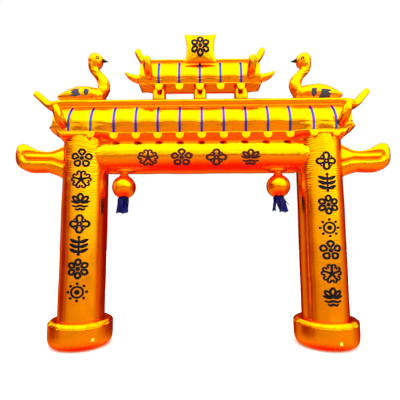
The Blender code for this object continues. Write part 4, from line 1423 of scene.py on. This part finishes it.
# --- stage -------------------------------------------------------------------------------
# Light from straight below (0) to straight above (1), linear: deep red and rose ground, a thin dark
# horizon, then a pale sky.
LIGHT_BY_HEIGHT = [
    (0.000, (0.33, 0.006, 0.02, 1)), (0.030, (0.33, 0.010, 0.03, 1)), (0.067, (0.33, 0.03, 0.05, 1)),
    (0.146, (0.34, 0.09, 0.12, 1)), (0.289, (0.34, 0.17, 0.24, 1)), (0.420, (0.34, 0.19, 0.30, 1)),
    (0.445, (0.12, 0.05, 0.09, 1)), (0.494, (0.12, 0.06, 0.09, 1)), (0.520, (0.66, 0.66, 0.64, 1)),
    (0.600, (0.82, 0.82, 0.80, 1)), (0.800, (0.88, 0.88, 0.88, 1)), (1.000, (0.90, 0.90, 0.90, 1)),
]
# The walls once round, from behind (0) by the left, the camera's side (0.5) and the right to behind
# again (1). Alpha is how much they hide.
WALLS_BY_HEADING = [
    (0.000, (0.11, 0.001, 0.01, 1)), (0.083, (0.09, 0.001, 0.01, 1)), (0.105, (0.22, 0.09, 0.02, 1)),
    (0.175, (0.24, 0.10, 0.02, 1)), (0.200, (0.14, 0.012, 0.01, 1)), (0.255, (0.10, 0.004, 0.01, 1)),
    (0.285, (0.13, 0.012, 0.02, 1)), (0.300, (0.20, 0.07, 0.03, 1)), (0.318, (0.13, 0.02, 0.02, 1)),
    (0.345, (0.22, 0.10, 0.06, 0.9)), (0.400, (0.22, 0.14, 0.10, 0.55)), (0.520, (0.22, 0.15, 0.1, 0.35)),
    (0.560, (0.33, 0.30, 0.3, 0.0)), (0.690, (0.33, 0.30, 0.3, 0.0)), (0.730, (0.25, 0.12, 0.06, 0.9)),
    (0.772, (0.24, 0.07, 0.03, 1)), (0.806, (0.19, 0.035, 0.02, 1)), (0.845, (0.12, 0.002, 0.01, 1)),
    (0.935, (0.09, 0.001, 0.01, 1)), (1.000, (0.11, 0.001, 0.01, 1)),
]
DUSK_GLOW, LIGHT_STRENGTH = (0.31, 0.115, 0.04, 1), 3.0
FLOOR_RADII, FLOOR_Z, BACKDROP_R = (0.5, 6.0, 40.0), -0.0005, 60.0

# The photograph's viewpoint: place in metres, turn in degrees, and focal length in millimetres.
CAMERA_PLACE, CAMERA_TURN, CAMERA_LENS = (0.0206, -5.1489, 1.5890), (96.441, 0.286, 0.649), 29.57


def share_of(tree, value, start, end):
    """How far a value has come from start to end, 0 to 1."""
    return node(tree, "MapRange", {"Value": value, "From Min": start, "From Max": end}).outputs["Result"]


def product(tree, first, *others):
    for other in others:
        first = node(tree, "Math", {0: first, 1: other}, operation="MULTIPLY").outputs["Value"]
    return first


def build_world():
    """The light that the gold mirrors: sky, ground, a dusky glow behind, and walls to the sides.

    The axes are those of the direction looked in, so the glow lies behind the arch and shows in the
    faces that slant away from the camera. The walls stand only near the horizon.
    """
    world = bpy.data.worlds.new("soft_studio_light")
    bpy.context.scene.world = world
    world.use_nodes = True
    tree = world.node_tree
    tree.nodes.clear()
    axes = node(tree, "SeparateXYZ", {"Vector": node(tree, "TexCoord").outputs["Generated"]}).outputs
    by_height = ramp_of(tree, share_of(tree, axes["Z"], -1.0, 1.0), LIGHT_BY_HEIGHT)
    dusk = product(tree, share_of(tree, axes["Y"], 0.15, 0.55), share_of(tree, axes["Z"], 0.78, 0.55),
                   share_of(tree, axes["Z"], -0.20, 0.0))
    lit = node(tree, "MixRGB", {"Fac": dusk, "Color1": by_height["Color"], "Color2": DUSK_GLOW})
    heading = node(tree, "Math", {0: axes["X"], 1: product(tree, axes["Y"], -1.0)}, operation="ARCTAN2")
    walls = ramp_of(tree, share_of(tree, heading.outputs["Value"], -math.pi, math.pi), WALLS_BY_HEADING)
    level = node(tree, "Math", {0: axes["Z"]}, operation="ABSOLUTE").outputs["Value"]
    wall_share = product(tree, share_of(tree, level, 0.55, 0.30), share_of(tree, axes["Z"], -0.60, -0.20),
                         walls["Alpha"])
    colour = node(tree, "MixRGB", {"Fac": wall_share, "Color1": lit.outputs["Color"],
                                   "Color2": walls["Color"]})
    light = node(tree, "Background", {"Color": colour.outputs["Color"], "Strength": LIGHT_STRENGTH})
    node(tree, "OutputWorld", {"Surface": light.outputs["Background"]})


def build_floor():
    """A pale disc that the arch stands on and that its cloth doesn't mirror."""
    steps = 96
    turns = [2 * math.pi * k / steps for k in range(steps)]
    rings = [[(r * math.cos(a), r * math.sin(a), FLOOR_Z) for a in turns] for r in FLOOR_RADII]
    points, faces = skin(rings, capped=False)
    points.append((0, 0, FLOOR_Z))
    faces += [(k, (k + 1) % steps, len(points) - 1) for k in range(steps)]
    mesh = bpy.data.meshes.new("studio_floor")
    mesh.from_pydata(points, [], faces)
    material, tree, shader = new_material("painted_floor_pale", Roughness=0.9)
    place = node(tree, "TexCoord").outputs["Object"]
    cloudy = node(tree, "TexNoise", {"Vector": place, "Scale": 1000 / FLOOR_PATCH_MM, "Detail": 2.0})
    floor_colour = tinted(tree, tuple(colours().floor), cloudy.outputs["Fac"], 0.99, 1.0)
    tree.links.new(floor_colour, shader.inputs["Base Color"])
    mesh.materials.append(material)
    floor = bpy.data.objects.new("studio_floor", mesh)
    bpy.context.scene.collection.objects.link(floor)
    floor.visible_glossy = False


def build_backdrop():
    """A plain white surround that only the camera sees."""
    mesh = bpy.data.meshes.new("studio_backdrop")
    shape = bmesh.new()
    bmesh.ops.create_uvsphere(shape, u_segments=48, v_segments=24, radius=BACKDROP_R)
    shape.to_mesh(mesh)
    shape.free()
    mesh.shade_smooth()
    material = bpy.data.materials.new("backdrop_white")
    material.use_nodes = True
    tree = material.node_tree
    tree.nodes.clear()
    glow = node(tree, "Emission", {"Color": (1.0, 1.0, 1.0, 1.0), "Strength": 1.0})
    node(tree, "OutputMaterial", {"Surface": glow.outputs["Emission"]})
    mesh.materials.append(material)
    backdrop = bpy.data.objects.new("studio_backdrop", mesh)
    bpy.context.scene.collection.objects.link(backdrop)
    for ray in ("diffuse", "glossy", "transmission", "shadow"):
        setattr(backdrop, "visible_" + ray, False)


def build_camera():
    """The photograph's viewpoint, at eye height in front of the arch."""
    data = bpy.data.cameras.new("view_camera")
    data.lens = CAMERA_LENS
    data.sensor_width = 36.0
    data.clip_end = 5 * BACKDROP_R
    camera = bpy.data.objects.new("view_camera", data)
    camera.location = CAMERA_PLACE
    camera.rotation_euler = [math.radians(a) for a in CAMERA_TURN]
    bpy.context.scene.collection.objects.link(camera)
    bpy.context.scene.camera = camera


# --- operators ---------------------------------------------------------------------------
class ARCH_OT_stage(bpy.types.Operator):
    """Add the pale floor, white surround, soft light and camera"""
    bl_idname = "arch.stage"
    bl_label = "Stage"

    def execute(self, context):
        context.scene.view_settings.view_transform = "Standard"
        build_world()
        build_floor()
        build_backdrop()
        build_camera()
        return {"FINISHED"}


class ARCH_OT_bases(bpy.types.Operator):
    """Build the two foot drums with their gathered rims"""
    bl_idname = "arch.bases"
    bl_label = "Bases"

    def execute(self, context):
        build_bases()
        return {"FINISHED"}


class ARCH_OT_columns(bpy.types.Operator):
    """Build the two columns"""
    bl_idname = "arch.columns"
    bl_label = "Columns"

    def execute(self, context):
        build_columns()
        return {"FINISHED"}


class ARCH_OT_beam(bpy.types.Operator):
    """Build the beam between the columns"""
    bl_idname = "arch.beam"
    bl_label = "Beam"

    def execute(self, context):
        build_beam()
        return {"FINISHED"}


class ARCH_OT_lower_roof(bpy.types.Operator):
    """Build the lower roof with its bands, eave strips and ridge"""
    bl_idname = "arch.lower_roof"
    bl_label = "Lower roof"

    def execute(self, context):
        build_whole_roof(LOWER_ROOF)
        return {"FINISHED"}


class ARCH_OT_upper_roof(bpy.types.Operator):
    """Build the upper roof with its bands, eave strips, ridge and posts"""
    bl_idname = "arch.upper_roof"
    bl_label = "Upper roof"

    def execute(self, context):
        build_whole_roof(UPPER_ROOF)
        build_posts()
        return {"FINISHED"}


class ARCH_OT_horns(bpy.types.Operator):
    """Build the hip horns and the side horns"""
    bl_idname = "arch.horns"
    bl_label = "Horns"

    def execute(self, context):
        build_horns()
        return {"FINISHED"}


class ARCH_OT_tablet(bpy.types.Operator):
    """Build the star-cornered cushion in front of the upper ridge"""
    bl_idname = "arch.tablet"
    bl_label = "Tablet"

    def execute(self, context):
        build_tablet()
        return {"FINISHED"}


class ARCH_OT_scrolls(bpy.types.Operator):
    """Build the two scrolls beside the columns"""
    bl_idname = "arch.scrolls"
    bl_label = "Scrolls"

    def execute(self, context):
        build_scrolls()
        return {"FINISHED"}


class ARCH_OT_birds(bpy.types.Operator):
    """Build the two long-necked birds with beaks, eyes and wing patches"""
    bl_idname = "arch.birds"
    bl_label = "Birds"

    def execute(self, context):
        build_birds()
        return {"FINISHED"}


class ARCH_OT_lanterns(bpy.types.Operator):
    """Build the two lanterns with collars and ribbons"""
    bl_idname = "arch.lanterns"
    bl_label = "Lanterns"

    def execute(self, context):
        build_lanterns()
        return {"FINISHED"}


class ARCH_OT_ornaments(bpy.types.Operator):
    """Print the ornaments on the columns, the beam and the tablet"""
    bl_idname = "arch.ornaments"
    bl_label = "Ornaments"

    def execute(self, context):
        build_ornaments()
        return {"FINISHED"}


class ARCH_OT_tie_tabs(bpy.types.Operator):
    """Sew the webbing tabs on the bases"""
    bl_idname = "arch.tie_tabs"
    bl_label = "Tie tabs"

    def execute(self, context):
        build_tie_tabs()
        return {"FINISHED"}


OPERATORS = (ARCH_OT_stage, ARCH_OT_bases, ARCH_OT_columns, ARCH_OT_beam, ARCH_OT_lower_roof,
             ARCH_OT_upper_roof, ARCH_OT_horns, ARCH_OT_tablet, ARCH_OT_scrolls, ARCH_OT_birds,
             ARCH_OT_lanterns, ARCH_OT_ornaments, ARCH_OT_tie_tabs)


class ARCH_PT_panel(bpy.types.Panel):
    """The arch's settings and its builders, in order"""
    bl_idname = "ARCH_PT_panel"
    bl_label = "Gate arch"
    bl_space_type = "VIEW_3D"
    bl_region_type = "UI"
    bl_category = "Gate arch"

    def draw(self, context):
        for group in (context.scene.arch_sizes, context.scene.arch_colours):
            box = self.layout.box()
            for name in group.bl_rna.properties.keys():
                if name not in ("rna_type", "name"):
                    box.prop(group, name)
        for operator in OPERATORS:
            self.layout.operator(operator.bl_idname)


CLASSES = (ArchSizes, ArchColours, *OPERATORS, ARCH_PT_panel)


def register():
    for cls in CLASSES:
        bpy.utils.register_class(cls)
    bpy.types.Scene.arch_sizes = PointerProperty(type=ArchSizes)
    bpy.types.Scene.arch_colours = PointerProperty(type=ArchColours)


def unregister():
    del bpy.types.Scene.arch_colours
    del bpy.types.Scene.arch_sizes
    for cls in reversed(CLASSES):
        bpy.utils.unregister_class(cls)


def main():
    register()
    for operator in OPERATORS:
        group, name = operator.bl_idname.split(".")
        getattr(getattr(bpy.ops, group), name)()


if __name__ == "__main__":
    main()
